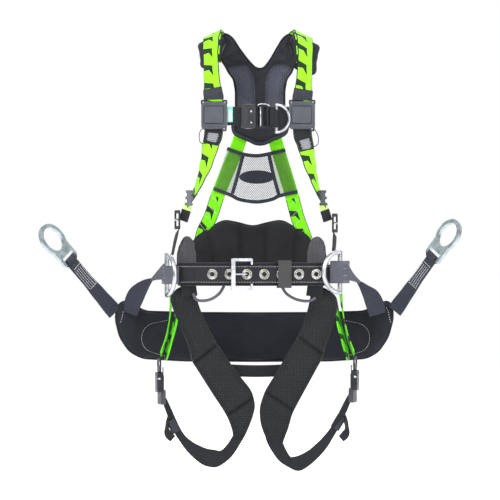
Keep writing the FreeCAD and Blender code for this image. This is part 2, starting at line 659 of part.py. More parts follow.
belt_low = BELT_Z - size("webbing_width") / 2
belt_high = BELT_Z + size("webbing_width") / 2
webbing = belt_band(0.0, size("belt_thick"), belt_low, belt_high)
GROMMET_FIRST_X = -107.0
GROMMET_COUNT = 7
grommet_shapes = []
for index in range(GROMMET_COUNT):
    x = GROMMET_FIRST_X + index * size("grommet_spacing")
    reach = x - BELT_CENTRE_X
    lean = math.asin(reach / size("belt_front_radius"))
    surface_y = BELT_FRONT_Y + size("belt_front_radius") * (1 - math.cos(lean))
    outward = Vector(math.sin(lean), -math.cos(lean), 0)
    hub = Vector(x, surface_y, BELT_Z)
    inner_face = hub - outward * (size("belt_thick") + 0.4)
    barrel = Part.makeCylinder(size("grommet_barrel_radius"), size("belt_thick") + 0.8, inner_face, outward)
    webbing = webbing.cut(barrel)
    flange = Part.makeCylinder(size("grommet_outer_radius"), size("grommet_thick"),
                               hub + outward * 0.4, outward)
    hole = Part.makeCylinder(size("grommet_hole_radius"), 20.0, hub - outward * 10, outward)
    slim = Part.makeCylinder(size("grommet_barrel_radius") - 0.2, size("belt_thick") + 0.8,
                             inner_face, outward)
    grommet_shapes.append(flange.fuse(slim).cut(hole).removeSplitter())
free_form("belt", webbing)
free_form("belt_grommets", Part.makeCompound(grommet_shapes))

pad_low = BELT_Z - size("belt_pad_height") / 2
pad_high = BELT_Z + size("belt_pad_height") / 2
belt_pad = belt_band(size("belt_pad_inset"), size("belt_pad_thick"), pad_low, pad_high)
free_form("belt_pad", belt_pad)

LOOP_SPAN = {"left": (-149.0, -79.0), "right": (59.0, 139.0)}
LOOP_DROP = 38.0
LOOP_THICK = 5.0
LOOP_WIDTH = 12.0
LOOP_FRONT_Y = -217.0
for side, (start_x, end_x) in LOOP_SPAN.items():
    radius = (end_x - start_x) / 2
    middle = (start_x + end_x) / 2
    top = pad_low - 0.6
    band = []
    for grow in (0.0, -LOOP_THICK):
        left = Vector(middle - radius - grow, LOOP_FRONT_Y, top)
        right = Vector(middle + radius + grow, LOOP_FRONT_Y, top)
        bottom = Vector(middle, LOOP_FRONT_Y, top - LOOP_DROP - grow)
        wire = Part.Wire([Part.Arc(left, bottom, right).toShape(), Part.LineSegment(right, left).toShape()])
        band.append(Part.Face(wire).extrude(Vector(0, LOOP_WIDTH, 0)))
    free_form("tool_loop_" + side, band[0].cut(band[1]))

# Square belt buckle that swings on its right-hand bar, behind the belt's free end.
buckle = doc.addObject("PartDesign::Body", "belt_buckle_frame")
buckle_shift = -(size("buckle_width") - size("buckle_wire")) / 2
sketch = new_sketch(buckle, "buckle_outside", "XZ_Plane")
add_rectangle(sketch, "outside", "buckle_width", "buckle_height", shift=buckle_shift)
block = pad(buckle, sketch, "buckle_block", "buckle_wire")
block = soften(buckle, block, "buckle_corners", 4.0, lambda e: runs_along(e, Vector(0, 1, 0)))
sketch = new_sketch(buckle, "buckle_window", "XZ_Plane")
window_right = -size("buckle_wire") / 2
add_rectangle(sketch, "window", "buckle_window_width", "buckle_window_height",
              shift=window_right - size("buckle_window_width") / 2)
pocket(buckle, sketch, "buckle_window_cut", "buckle_wire")
BUCKLE_YAW = 18.0
keep(buckle, "belt_buckle_frame", Placement(BUCKLE_PIVOT, Rotation(Vector(0, 0, 1), BUCKLE_YAW)))

tongue_points = [Vector(-4.4, 0, 0), Vector(-8.2, -1.5, 0), Vector(-12.5, -12.8, 0), Vector(-36.5, -15.0, 0)]
TONGUE_EYE_INNER = 3.9
TONGUE_EYE_OUTER = 5.3
tongue = web_eye(Vector(0, 0, 0), Vector(0, 0, 1), TONGUE_EYE_INNER, TONGUE_EYE_OUTER, 8.0)
for first, second in zip(tongue_points, tongue_points[1:]):
    run = second - first
    tongue = tongue.fuse(Part.makeCylinder(size("tongue_radius"), run.Length, first, run))
    tongue = tongue.fuse(Part.makeSphere(size("tongue_radius"), second))
tongue = tongue.cut(Part.makeCylinder(TONGUE_EYE_INNER, 20, Vector(0, 0, -10))).removeSplitter()
tongue.translate(BUCKLE_PIVOT)
free_form("belt_tongue", tongue)

keeper = doc.addObject("PartDesign::Body", "belt_keeper")
sketch = new_sketch(keeper, "keeper_outside", "YZ_Plane")
add_rectangle(sketch, "outside", "keeper_depth", "keeper_height")
pad(keeper, sketch, "keeper_block", "keeper_length")
sketch = new_sketch(keeper, "keeper_inside", "YZ_Plane")
add_rectangle(sketch, "inside", "keeper_inner_depth", "keeper_inner_height")
pocket(keeper, sketch, "keeper_hollow", "keeper_length")
KEEPER_X = 65.0
keeper_lean = math.asin((KEEPER_X - BELT_CENTRE_X) / size("belt_front_radius"))
keeper_y = BELT_FRONT_Y + size("belt_front_radius") * (1 - math.cos(keeper_lean)) + 9.5
keep(keeper, "belt_keeper",
     Placement(Vector(KEEPER_X, keeper_y, BELT_Z), Rotation(Vector(0, 0, 1), math.degrees(keeper_lean))))

# Hip rings on sewn tabs.
TAB_INNER = {"left": Vector(-188.0, -226.0, 0), "right": Vector(176.0, -222.0, 0)}
TAB_OUTER = {"left": Vector(-228.0, -192.0, 0), "right": Vector(222.0, -192.0, 0)}
TAB_PLY = 4.0
TAB_SLEEVE = 8.6
for side, sign in SIDES.items():
    bar_at = HIP_BAR[side]
    d_ring("hip_d_ring_" + side, "hip_ring_radius", "hip_ring_wire",
           Placement(bar_at, Rotation(Vector(0, 0, 1), HIP_RING_YAW[side])))
    hole = size("hip_ring_wire") + size("pin_gap")
    sleeve = web_eye(bar_at, Vector(0, 0, 1), hole, TAB_SLEEVE, size("loop_width"))
    core = Part.makeCylinder(hole, 80.0, bar_at - Vector(0, 0, 40), Vector(0, 0, 1))
    for end in (TAB_INNER[side], TAB_OUTER[side]):
        run = Vector(end.x - bar_at.x, end.y - bar_at.y, 0)
        ply = Part.makeBox(run.Length, TAB_PLY, size("loop_width"))
        ply.translate(Vector(0, -TAB_PLY / 2, -size("loop_width") / 2))
        ply.Placement = Placement(bar_at, Rotation(Vector(1, 0, 0), run)).multiply(ply.Placement)
        sleeve = sleeve.fuse(ply)
    free_form("hip_tab_" + side, sleeve.cut(core).removeSplitter())

# ---- suspended seat ----------------------------------------------------------------------------

SEAT_OUTLINE = [
    (-346, -560), (-340, -530), (-324, -518), (-300, -528), (-270, -545), (-150, -550), (0, -550),
    (150, -550), (262, -545), (292, -530), (316, -518), (330, -530), (333, -560), (320, -610),
    (296, -645), (270, -662), (180, -668), (0, -670), (-180, -668), (-281, -662), (-310, -645),
    (-334, -610),
]


def seat_arc(radius, z):
    """Plan half-disc in front of the seat's back face, used to cut its curved band."""
    centre = Vector(0, SEAT_BACK_Y - size("seat_radius"), z)
    return Part.makeCylinder(radius, 200.0, centre)


inner_band = seat_arc(size("seat_radius") - size("seat_thick"), -700.0)
seat_band = seat_arc(size("seat_radius"), -700.0).cut(inner_band)
free_form("seat_pad", seat_band.common(prism_y(SEAT_OUTLINE, -160.0, 40.0)))

ARM_TWIST_END = 0.6
SEAT_STRAP_ROUTE = {
    "left": [
        ((-243, -186, -448), (-0.7, -0.7, 0.1)),
        ((-256, -180, -466), (-1, -0.4, -0.2)),
        ((-276, -160, -488), (-0.8, -0.6, 0.7)),
        ((-301, -135, -512), (0.1, -0.9, 0.3)),
        ((-306, -112, -552), (0.58, -0.81, 0)),
    ],
    "right": [
        ((236, -186, -452), (0.7, -0.7, 0.1)),
        ((248, -180, -472), (1, -0.4, -0.2)),
        ((264, -160, -492), (0.8, -0.6, 0.7)),
        ((283, -135, -514), (-0.1, -0.9, 0.3)),
        ((290, -110, -552), (-0.58, -0.81, 0)),
    ],
}
for side, sign in SIDES.items():
    route = SEAT_STRAP_ROUTE[side]
    free_form("seat_strap_" + side, ribbon(route, 40.0, size("webbing_thick")))
    eye = RING_EYE[side]
    root = ARM_FOOT[side]
    along = (eye - root).normalize()
    fold_axis = along.cross(Vector(-sign * 0.62, -0.78, 0)).normalize()
    fold_face = fold_axis.cross(along).normalize()
    across = along.cross(Vector(-sign * 1.5, -0.78, 0)).normalize()
    face = across.cross(along).normalize()
    bar_offset = size("seat_slot_offset") - size("seat_slot_height") / 2
    foot_end = size("seat_foot_offset") - size("seat_foot_height") / 2
    bar_rise = (bar_offset + foot_end) / 2
    ring = doc.addObject("PartDesign::Body", "seat_ring_" + side)
    sketch = new_sketch(ring, "seat_eye_" + side, "XZ_Plane")
    add_circle(sketch, "outer", "seat_ring_outer_radius")
    pad(ring, sketch, "seat_disc_" + side, "seat_ring_thick")
    sketch = new_sketch(ring, "seat_foot_" + side, "XZ_Plane")
    add_rectangle(sketch, "foot", "seat_foot_width", "seat_foot_height", rise_alias="seat_foot_offset")
    pad(ring, sketch, "seat_foot_pad_" + side, "seat_ring_thick")
    sketch = new_sketch(ring, "seat_eye_cut_" + side, "XZ_Plane")
    add_circle(sketch, "eye", "seat_ring_eye_radius")
    pocket(ring, sketch, "seat_eye_pocket_" + side, "seat_ring_thick")
    sketch = new_sketch(ring, "seat_slot_" + side, "XZ_Plane")
    add_rectangle(sketch, "slot", "seat_slot_width", "seat_slot_height", rise_alias="seat_slot_offset")
    last = pocket(ring, sketch, "seat_slot_cut_" + side, "seat_ring_thick")
    soften(ring, last, "seat_corners_" + side, 9.0,
           lambda e: runs_along(e, Vector(0, 1, 0)) and e.CenterOfMass.z < foot_end + 1)
    keep(ring, "seat_ring_" + side, basis(eye, across, along))
    bar_at = eye + along * bar_rise
    sleeve = web_eye(bar_at, across, 6.0, 8.5, size("loop_width"))
    clear = Part.makeCylinder(6.0, 80.0, bar_at - across * 40, across)
    stations = []
    for share in (0.0, 0.3, 0.6, 0.85, 1.0):
        point = root + (bar_at - root) * share
        turned = min(1.0, share / ARM_TWIST_END)
        looks = fold_face * (1.0 - turned) + face * turned
        stations.append((tuple(point), tuple(looks)))
    arm = ribbon(stations, size("loop_width"), size("arm_thick"))
    free_form("seat_arm_" + side, arm.fuse(sleeve).cut(clear).removeSplitter())

# ---- leg loops ---------------------------------------------------------------------------------

LEG_PAD_OUTLINE = {
    "left": [
        (-190, -487), (-217, -511), (-207, -540), (-170, -607), (-150, -655), (-133, -708), (-118, -770),
        (-100, -830), (-86, -856), (-82, -878), (-58, -883), (-32, -850), (-14, -815), (-3, -772),
        (-12, -738), (-35, -708), (-68, -665), (-106, -607), (-135, -545), (-146, -511), (-156, -487),
    ],
    "right": [
        (160, -487), (132, -487), (128, -514), (120, -550), (98, -607), (66, -660), (38, -708),
        (12, -745), (5, -785), (14, -830), (32, -865), (55, -898), (78, -890), (84, -862), (98, -830),
        (110, -770), (117, -708), (140, -655), (170, -607), (195, -545), (196, -508),
    ],
}
LEG_PAD_TOP = Vector(0, -196.0, -480.0)
LEG_PAD_LEAN = 16.0


def leaned(shape):
    """Tip a flat pad so that its lower end goes back between the legs."""
    shape.rotate(LEG_PAD_TOP, Vector(1, 0, 0), LEG_PAD_LEAN)
    return shape


def lean_y(z):
    """Depth of the leaning pads' front face at a height."""
    return LEG_PAD_TOP.y - (z - LEG_PAD_TOP.z) * math.tan(math.radians(LEG_PAD_LEAN))


stretch = 1.0 / math.cos(math.radians(LEG_PAD_LEAN))
for side, sign in SIDES.items():
    flat = [(x, LEG_PAD_TOP.z + (z - LEG_PAD_TOP.z) * stretch) for x, z in LEG_PAD_OUTLINE[side]]
    solid = prism_y(flat, LEG_PAD_TOP.y, LEG_PAD_TOP.y + size("leg_pad_thick"))
    free_form("leg_pad_" + side, leaned(solid))

LEG_WEB_ROUTE = [
    ((66, lean_y(-862) - 8, -862), (0.1, -1, 0.3)),
    ((82, lean_y(-890) - 10, -904), (0.3, -0.9, 0.4)),
    ((108, -108, -920), (0.1, -0.7, 0.7)),
    ((146, -118, -886), (-0.4, -0.8, 0.5)),
    ((184, -134, -850), (-0.5, -0.8, 0.4)),
    ((204, -147, -815), (-0.9, -0.5, 0.2)),
    ((226, -160, -772), (-1, -0.1, 0)),
    ((234, -170, -746), (-1, 0, 0)),
]
WEB_SHIFT = {"left": [0] * 8, "right": [4, 0, -6, -4, -2, 0, 0, 1]}
THIGH_STRAP_ROUTE = {
    "left": [
        ((-209, -142, -492), (-1, -0.2, 0)),
        ((-209, -142, -540), (-1, -0.1, 0)),
        ((-215, -156, -595), (-1, 0, 0)),
        ((-226, -170, -634), (-1, 0, 0)),
    ],
    "right": [
        ((202, -142, -488), (1, -0.2, 0)),
        ((207, -142, -540), (1, -0.1, 0)),
        ((216, -156, -595), (1, 0, 0)),
        ((228, -170, -628), (1, 0, 0)),
    ],
}
for side, sign in SIDES.items():
    route = shifted(mirrored(LEG_WEB_ROUTE, sign), WEB_SHIFT[side])
    free_form("leg_webbing_" + side, ribbon(route, 38.0, size("webbing_thick")))
    strap = ribbon(THIGH_STRAP_ROUTE[side], 38.0, size("webbing_thick"))
    free_form("thigh_strap_" + side, strap)
    at = LEG_BUCKLE[side]
    faced = Rotation(Vector(0, 0, 1), sign * 82.0)
    socket = doc.addObject("PartDesign::Body", "leg_buckle_receiver_" + side)
    sketch = new_sketch(socket, "socket_face_" + side, "XZ_Plane")
    add_rectangle(sketch, "face", "leg_receiver_width", "leg_receiver_height")
    block = pad(socket, sketch, "socket_block_" + side, "leg_receiver_depth")
    block = soften(socket, block, "socket_corners_" + side, 5.0, lambda e: runs_along(e, Vector(0, 1, 0)))
    sketch = new_sketch(socket, "socket_mouth_" + side, "XZ_Plane")
    mouth_rise = size("leg_receiver_height") / 2 - size("leg_mouth_length") / 2 + 0.5
    add_rectangle(sketch, "mouth", "leg_mouth_width", "leg_mouth_length", rise=mouth_rise)
    pocket(socket, sketch, "socket_mouth_cut_" + side, "leg_mouth_depth")
    keep(socket, "leg_buckle_receiver_" + side, Placement(at, faced))
    plug = doc.addObject("PartDesign::Body", "leg_buckle_insert_" + side)
    sketch = new_sketch(plug, "plug_face_" + side, "XZ_Plane")
    add_rectangle(sketch, "face", "leg_insert_width", "leg_insert_height")
    block = pad(plug, sketch, "plug_block_" + side, "leg_insert_thick")
    block = soften(plug, block, "plug_corners_" + side, 5.0, lambda e: runs_along(e, Vector(0, 1, 0)))
    sketch = new_sketch(plug, "plug_tongue_" + side, "XZ_Plane")
    tongue_rise = -size("leg_insert_height") / 2 - size("leg_insert_tongue_length") / 2 + 0.5
    add_rectangle(sketch, "tongue", "leg_insert_tongue_width", "leg_insert_tongue_length", rise=tongue_rise)
    pad(plug, sketch, "plug_tongue_pad_" + side, "leg_insert_thick")
    sketch = new_sketch(plug, "plug_slot_" + side, "XZ_Plane")
    add_rectangle(sketch, "slot", "leg_insert_slot_width", "leg_insert_slot_height", rise=4.0)
    pocket(plug, sketch, "plug_slot_cut_" + side, "leg_insert_thick")
    plug_rise = size("leg_receiver_height") / 2 + size("leg_insert_height") / 2 + 0.8
    keep(plug, "leg_buckle_insert_" + side, Placement(at + Vector(0, 0, plug_rise), faced))

SUBPELVIC_Z = -688.0
subpelvic = [
    ((-128, -116, SUBPELVIC_Z + 6), (0, 1, 0)),
    ((-60, -88, SUBPELVIC_Z - 1), (0, 1, 0)),
    ((0, -80, SUBPELVIC_Z - 3), (0, 1, 0)),
    ((60, -88, SUBPELVIC_Z - 1), (0, 1, 0)),
    ((112, -116, SUBPELVIC_Z + 6), (0, 1, 0)),
]
free_form("subpelvic_strap", ribbon(subpelvic, 30.0, 3.0))

# ---- check and write ---------------------------------------------------------------------------

doc.recompute()
for obj in doc.Objects:
    if "Invalid" in obj.State or "Error" in obj.State:
        raise RuntimeError("%s did not compute: %s" % (obj.Label, obj.State))
for obj in subparts:
    if obj.Shape.isNull() or not obj.Shape.isValid():
        raise RuntimeError("%s has no valid shape" % obj.Label)
os.makedirs("parts", exist_ok=True)
for obj in subparts:
    obj.Shape.exportStep("parts/%s.step" % obj.Label)
print("%d sub-parts written" % len(subparts))
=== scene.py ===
# Full-body climbing harness with a positioning belt and a suspended work seat.
import math
import bpy
import numpy as np
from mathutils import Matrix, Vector


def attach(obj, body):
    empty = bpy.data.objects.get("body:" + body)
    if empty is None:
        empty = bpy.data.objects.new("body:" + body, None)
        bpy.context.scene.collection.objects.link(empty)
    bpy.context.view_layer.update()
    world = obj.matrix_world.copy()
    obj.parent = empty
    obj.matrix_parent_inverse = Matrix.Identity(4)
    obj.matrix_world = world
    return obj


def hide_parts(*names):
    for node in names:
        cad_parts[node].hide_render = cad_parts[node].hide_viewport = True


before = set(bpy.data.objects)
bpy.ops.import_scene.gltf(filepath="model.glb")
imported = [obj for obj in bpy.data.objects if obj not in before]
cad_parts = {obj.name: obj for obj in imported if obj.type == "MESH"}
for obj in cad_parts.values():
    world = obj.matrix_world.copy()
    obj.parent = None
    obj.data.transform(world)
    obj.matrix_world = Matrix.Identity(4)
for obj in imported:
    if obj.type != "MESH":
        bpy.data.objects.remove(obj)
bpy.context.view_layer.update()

MM = 0.001

# ---- camera, light and floor -------------------------------------------------------------------

lens = bpy.data.cameras.new("camera")
lens.lens = 300
lens.sensor_width = 36
camera = bpy.data.objects.new("camera", lens)
bpy.context.scene.collection.objects.link(camera)
camera.location = (-0.0168, -10.23, -0.396)
camera.rotation_euler = (math.radians(90), 0, 0)
bpy.context.scene.camera = camera
bpy.context.scene.view_settings.view_transform = "Standard"

world = bpy.data.worlds.new("studio")
bpy.context.scene.world = world
world.use_nodes = True
tree = world.node_tree
backdrop = tree.nodes["Background"]
backdrop.inputs["Color"].default_value = (1.0, 1.0, 1.0, 1)
studio = tree.nodes.new("ShaderNodeBackground")
heading = tree.nodes.new("ShaderNodeTexCoord")
height = tree.nodes.new("ShaderNodeSeparateXYZ")
tree.links.new(heading.outputs["Generated"], height.inputs[0])
shade = tree.nodes.new("ShaderNodeValToRGB")
shade.color_ramp.elements[0].position = 0.0
shade.color_ramp.elements[0].color = (0.55, 0.55, 0.57, 1)
shade.color_ramp.elements[1].position = 1.0
shade.color_ramp.elements[1].color = (1.15, 1.15, 1.15, 1)
for spot, level in ((0.44, 0.5), (0.5, 0.16), (0.56, 0.3), (0.68, 0.95)):
    shade.color_ramp.elements.new(spot).color = (level, level, level * 1.02, 1)
lifted = tree.nodes.new("ShaderNodeMapRange")
lifted.inputs["From Min"].default_value = -1.0
tree.links.new(height.outputs[2], lifted.inputs[0])
tree.links.new(lifted.outputs[0], shade.inputs[0])
tree.links.new(shade.outputs[0], studio.inputs["Color"])
seen = tree.nodes.new("ShaderNodeLightPath")
choose = tree.nodes.new("ShaderNodeMixShader")
tree.links.new(seen.outputs["Is Camera Ray"], choose.inputs[0])
tree.links.new(studio.outputs[0], choose.inputs[1])
tree.links.new(backdrop.outputs[0], choose.inputs[2])
tree.links.new(choose.outputs[0], tree.nodes["World Output"].inputs[0])


def soft_light(name, place, aim, across, watts):
    lamp = bpy.data.lights.new(name, "AREA")
    lamp.size = across
    lamp.energy = watts
    holder = bpy.data.objects.new(name, lamp)
    bpy.context.scene.collection.objects.link(holder)
    holder.location = place
    holder.rotation_euler = (Vector(aim) - Vector(place)).to_track_quat("-Z", "Y").to_euler()


soft_light("key_light", (-1.6, -2.6, 1.6), (0, 0, -0.4), 1.4, 70)
soft_light("fill_light", (2.2, -2.2, 0.4), (0, 0, -0.4), 1.8, 32)
soft_light("back_light", (0.4, 2.4, 1.4), (0, 0, -0.4), 1.6, 40)

# ---- mesh helpers ------------------------------------------------------------------------------


def piece_from(name, points, faces, material, uvs=None, smooth=True):
    """Mesh object from points in millimetres, with UVs in metres per vertex."""
    mesh = bpy.data.meshes.new(name)
    mesh.from_pydata([tuple(p) for p in np.asarray(points, float) * MM], [], [tuple(f) for f in faces])
    mesh.validate()
    if uvs is not None:
        layer = mesh.uv_layers.new(name="UVMap")
        corner = np.empty(len(mesh.loops), int)
        mesh.loops.foreach_get("vertex_index", corner)
        layer.data.foreach_set("uv", (np.asarray(uvs, float) * MM)[corner].ravel())
    for face in mesh.polygons:
        face.use_smooth = smooth
    mesh.materials.append(material)
    obj = bpy.data.objects.new(name, mesh)
    bpy.context.scene.collection.objects.link(obj)
    return obj


def place(obj, body, slot, replaced=()):
    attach(obj, body)
    if replaced:
        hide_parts(*replaced)
    return obj


class Run:
    """Band surface through stations, each a point and the way the face looks there."""

    def __init__(self, stations, step=3.0):
        points = np.array([s[0] for s in stations], float)
        looks = np.array([s[1] for s in stations], float)
        dense, face = [], []
        count = len(points)
        for i in range(count - 1):
            p0 = points[max(i - 1, 0)]
            p1, p2 = points[i], points[i + 1]
            p3 = points[min(i + 2, count - 1)]
            parts = max(2, int(np.linalg.norm(p2 - p1) / step))
            for k in range(parts):
                t = k / parts
                dense.append(0.5 * (2 * p1 + (p2 - p0) * t + (2 * p0 - 5 * p1 + 4 * p2 - p3) * t * t
                                    + (3 * p1 - p0 - 3 * p2 + p3) * t ** 3))
                ease = t * t * (3 - 2 * t)
                face.append(looks[i] * (1 - ease) + looks[i + 1] * ease)
        dense.append(points[-1])
        face.append(looks[-1])
        self.p = np.array(dense)
        along = np.gradient(self.p, axis=0)
        self.t = along / np.linalg.norm(along, axis=1)[:, None]
        across = np.cross(np.array(face), self.t)
        self.a = across / np.linalg.norm(across, axis=1)[:, None]
        self.n = np.cross(self.t, self.a)
        gaps = np.linalg.norm(np.diff(self.p, axis=0), axis=1)
        self.s = np.concatenate([[0], np.cumsum(gaps)])
        self.length = self.s[-1]

    def mix(self, table, v):
        return np.stack([np.interp(v, self.s, table[:, k]) for k in range(3)], axis=-1)

    def at(self, u, v, lift=0.0):
        """Points in millimetres at u across, v along and lift off the face."""
        u, v, lift = np.broadcast_arrays(np.asarray(u, float), np.asarray(v, float), lift)
        return self.mix(self.p, v) + self.mix(self.a, v) * u[..., None] + self.mix(self.n, v) * lift[...,
                                                                                                     None]

    def v_at_z(self, z):
        return float(self.s[np.argmin(np.abs(self.p[:, 2] - z))])


class Flat:
    """Surface seen from the front whose u is X and v is Z, at a depth given by a rule."""

    def __init__(self, depth):
        self.depth = depth

    def at(self, u, v, lift=0.0):
        u, v, lift = np.broadcast_arrays(np.asarray(u, float), np.asarray(v, float), lift)
        step = 0.5
        y = self.depth(u, v)
        slope_u = (self.depth(u + step, v) - self.depth(u - step, v)) / (2 * step)
        slope_v = (self.depth(u, v + step) - self.depth(u, v - step)) / (2 * step)
        normal = np.stack([slope_u, -np.ones_like(y), slope_v], axis=-1)
        normal /= np.linalg.norm(normal, axis=-1)[..., None]
        return np.stack([u, y, v], axis=-1) + normal * lift[..., None]


class Wrap:
    """Upright surface along a plan line: u is the distance along the line and v is Z."""

    def __init__(self, plan):
        self.plan = np.array(plan, float)
        gaps = np.linalg.norm(np.diff(self.plan, axis=0), axis=1)
        self.s = np.concatenate([[0], np.cumsum(gaps)])
        self.s -= np.interp(0.0, self.plan[:, 0], self.s) if self.plan[0, 0] < 0 < self.plan[-1, 0] else 0
        along = np.gradient(self.plan, axis=0)
        along /= np.linalg.norm(along, axis=1)[:, None]
        self.out = np.stack([along[:, 1], -along[:, 0]], axis=-1)

    def at(self, u, v, lift=0.0):
        u, v, lift = np.broadcast_arrays(np.asarray(u, float), np.asarray(v, float), lift)
        x = np.interp(u, self.s, self.plan[:, 0]) + np.interp(u, self.s, self.out[:, 0]) * lift
        y = np.interp(u, self.s, self.plan[:, 1]) + np.interp(u, self.s, self.out[:, 1]) * lift
        return np.stack([x, y, v], axis=-1)


def strap(name, body, run, width, thick, material, slot, replaced=(), start=0.0, end=None, origin=0.0,
          narrow=None, crown=0.0):
    """Flat webbing along a run, with rolled edges. UVs are u across and v along from origin."""
    end = run.length if end is None else end
    rows = max(2, int((end - start) / 3.0))
    v = np.linspace(start, end, rows + 1)
    half = width / 2
    curl = thick / 2
    top = np.linspace(-half + curl, half - curl, 9)
    ring_u = np.concatenate([[-half], top, [half], top[::-1]])
    lifts = np.concatenate([[0], np.full(9, curl), [0], np.full(9, -curl)])
    arch = crown * (1 - (ring_u / half) ** 2)
    points, uvs = [], []
    for value in v:
        scale = 1.0 if narrow is None else narrow(value)
        points.append(run.at(ring_u * scale, np.full(20, value), lifts + arch))
        uvs.append(np.stack([ring_u, np.full(20, value - origin)], axis=-1))
    points = np.concatenate(points)
    uvs = np.concatenate(uvs)
    faces = []
    for i in range(rows):
        for k in range(20):
            a, b = i * 20 + k, i * 20 + (k + 1) % 20
            faces.append((a, b, b + 20, a + 20))
    faces.append(tuple(range(20)))
    faces.append(tuple(reversed(range(rows * 20, rows * 20 + 20))))
    obj = piece_from(name, points, faces, material, uvs)
    return place(obj, body, slot, replaced)


def band(name, body, outer, inner, thick, material, slot, replaced=()):
    """Flat webbing between two edge lines, given point for point."""
    edges = [Run([(p, (0, -1, 0)) for p in line], 2.0) for line in (outer, inner)]
    rows = 48
    left, right = (np.stack([np.interp(np.linspace(0, e.length, rows), e.s, e.p[:, k]) for k in range(3)], -1)
                   for e in edges)
    middle = (left + right) / 2
    along = np.gradient(middle, axis=0)
    along /= np.linalg.norm(along, axis=1)[:, None]
    across = right - left
    normal = np.cross(across, along)
    normal /= np.linalg.norm(normal, axis=1)[:, None]
    travelled = np.concatenate([[0], np.cumsum(np.linalg.norm(np.diff(middle, axis=0), axis=1))])
    top = np.linspace(0.03, 0.97, 9)
    share = np.concatenate([[0], top, [1], top[::-1]])
    lift = np.concatenate([[0], np.full(9, thick / 2), [0], np.full(9, -thick / 2)])
    points, uvs = [], []
    for i in range(rows):
        points.append(left[i] + across[i] * share[:, None] + normal[i] * lift[:, None])
        uvs.append(np.stack([(share - 0.5) * 40.0, np.full(20, travelled[i])], axis=-1))
    obj = solid_from_rings(name, points, material, uvs=np.concatenate(uvs))
    return place(obj, body, slot, replaced)


def edge_distance(points, outline):
    """Distance of points to a closed outline, whether they are inside, and the nearest outline points."""
    a = outline
    b = np.roll(outline, -1, axis=0)
    best = np.full(len(points), 1e9)
    near = np.zeros_like(points)
    inside = np.zeros(len(points), bool)
    for p, q in zip(a, b):
        run = q - p
        t = np.clip(((points - p) @ run) / max(run @ run, 1e-9), 0, 1)
        spot = p + t[:, None] * run
        d = np.linalg.norm(points - spot, axis=1)
        closer = d < best
        best[closer] = d[closer]
        near[closer] = spot[closer]
        crosses = (p[1] > points[:, 1]) != (q[1] > points[:, 1])
        with np.errstate(divide="ignore", invalid="ignore"):
            x = (q[0] - p[0]) * (points[:, 1] - p[1]) / (q[1] - p[1]) + p[0]
        inside ^= crosses & (points[:, 0] < x)
    return best, inside, near


def rounded(outline, radius=8.0, parts=5, closed=True):
    """Outline with its corners turned by quadratic curves."""
    outline = np.array(outline, float)
    count = len(outline)
    result = []
    for i in range(count):
        here = outline[i]
        if not closed and i in (0, count - 1):
            result.append(here)
            continue
        before, after = outline[i - 1], outline[(i + 1) % count]
        r1 = min(radius, np.linalg.norm(before - here) * 0.45)
        r2 = min(radius, np.linalg.norm(after - here) * 0.45)
        p = here + (before - here) / np.linalg.norm(before - here) * r1
        q = here + (after - here) / np.linalg.norm(after - here) * r2
        for k in range(parts + 1):
            t = k / parts
            result.append((1 - t) ** 2 * p + 2 * t * (1 - t) * here + t * t * q)
    return np.array(result)


def cushion(name, surface, outline, front, back, material, pitch=4.0, soft=14.0, shape=None, rim=0.18):
    """Closed pad on a surface: its face crowns by front and its back by back, thin at the outline.
    shape(u, v, d) gives a change of the front face in millimetres."""
    low = outline.min(axis=0) - pitch
    high = outline.max(axis=0) + pitch
    nu = int((high[0] - low[0]) / pitch) + 2
    nv = int((high[1] - low[1]) / pitch) + 2
    u, v = np.meshgrid(np.linspace(low[0], high[0], nu), np.linspace(low[1], high[1], nv), indexing="ij")
    grid = np.stack([u.ravel(), v.ravel()], axis=-1)
    d, inside, near = edge_distance(grid, outline)
    spots = np.where(inside[:, None], grid, near)
    depth = np.where(inside, d, 0.0)
    close = inside & (d < pitch * 0.35)
    spots[close] = near[close]
    depth[close] = 0.0
    cell = []
    used = np.zeros(len(grid), bool)
    for i in range(nu - 1):
        for j in range(nv - 1):
            q = (i * nv + j, (i + 1) * nv + j, (i + 1) * nv + j + 1, i * nv + j + 1)
            if inside[list(q)].any() and (depth[list(q)] > 0).any():
                cell.append(q)
                used[list(q)] = True
    index = -np.ones(len(grid), int)
    index[used] = np.arange(used.sum())
    spots = spots[used]
    depth = depth[used]
    rise = np.sqrt(np.clip(1 - (1 - np.clip(depth / soft, 0, 1)) ** 2, 0, 1))
    rise = rim * (depth > 0) + (1 - rim) * rise
    lift = front * rise
    if shape is not None:
        lift = lift + shape(spots[:, 0], spots[:, 1], depth) * rise
    face_up = surface.at(spots[:, 0], spots[:, 1], lift)
    face_down = surface.at(spots[:, 0], spots[:, 1], -back * rise)
    rimmed = depth <= 0
    count = len(spots)
    lower = np.where(rimmed, np.arange(count), np.cumsum(~rimmed) - 1 + count)
    points = np.concatenate([face_up, face_down[~rimmed]])
    uvs = np.concatenate([spots, spots[~rimmed]])
    faces = []
    for q in cell:
        top = [index[k] for k in q]
        faces.append(top)
        faces.append([lower[k] for k in reversed(top)])
    obj = piece_from(name, points, faces, material, uvs)
    tidy(obj)
    return obj


def tidy(obj):
    """Joins touching points and turns the faces outwards."""
    import bmesh
    shell = bmesh.new()
    shell.from_mesh(obj.data)
    bmesh.ops.remove_doubles(shell, verts=shell.verts, dist=0.0002)
    bmesh.ops.dissolve_degenerate(shell, edges=shell.edges, dist=0.00005)
    bmesh.ops.recalc_face_normals(shell, faces=shell.faces)
    for face in shell.faces:
        face.smooth = True
    shell.to_mesh(obj.data)
    shell.free()


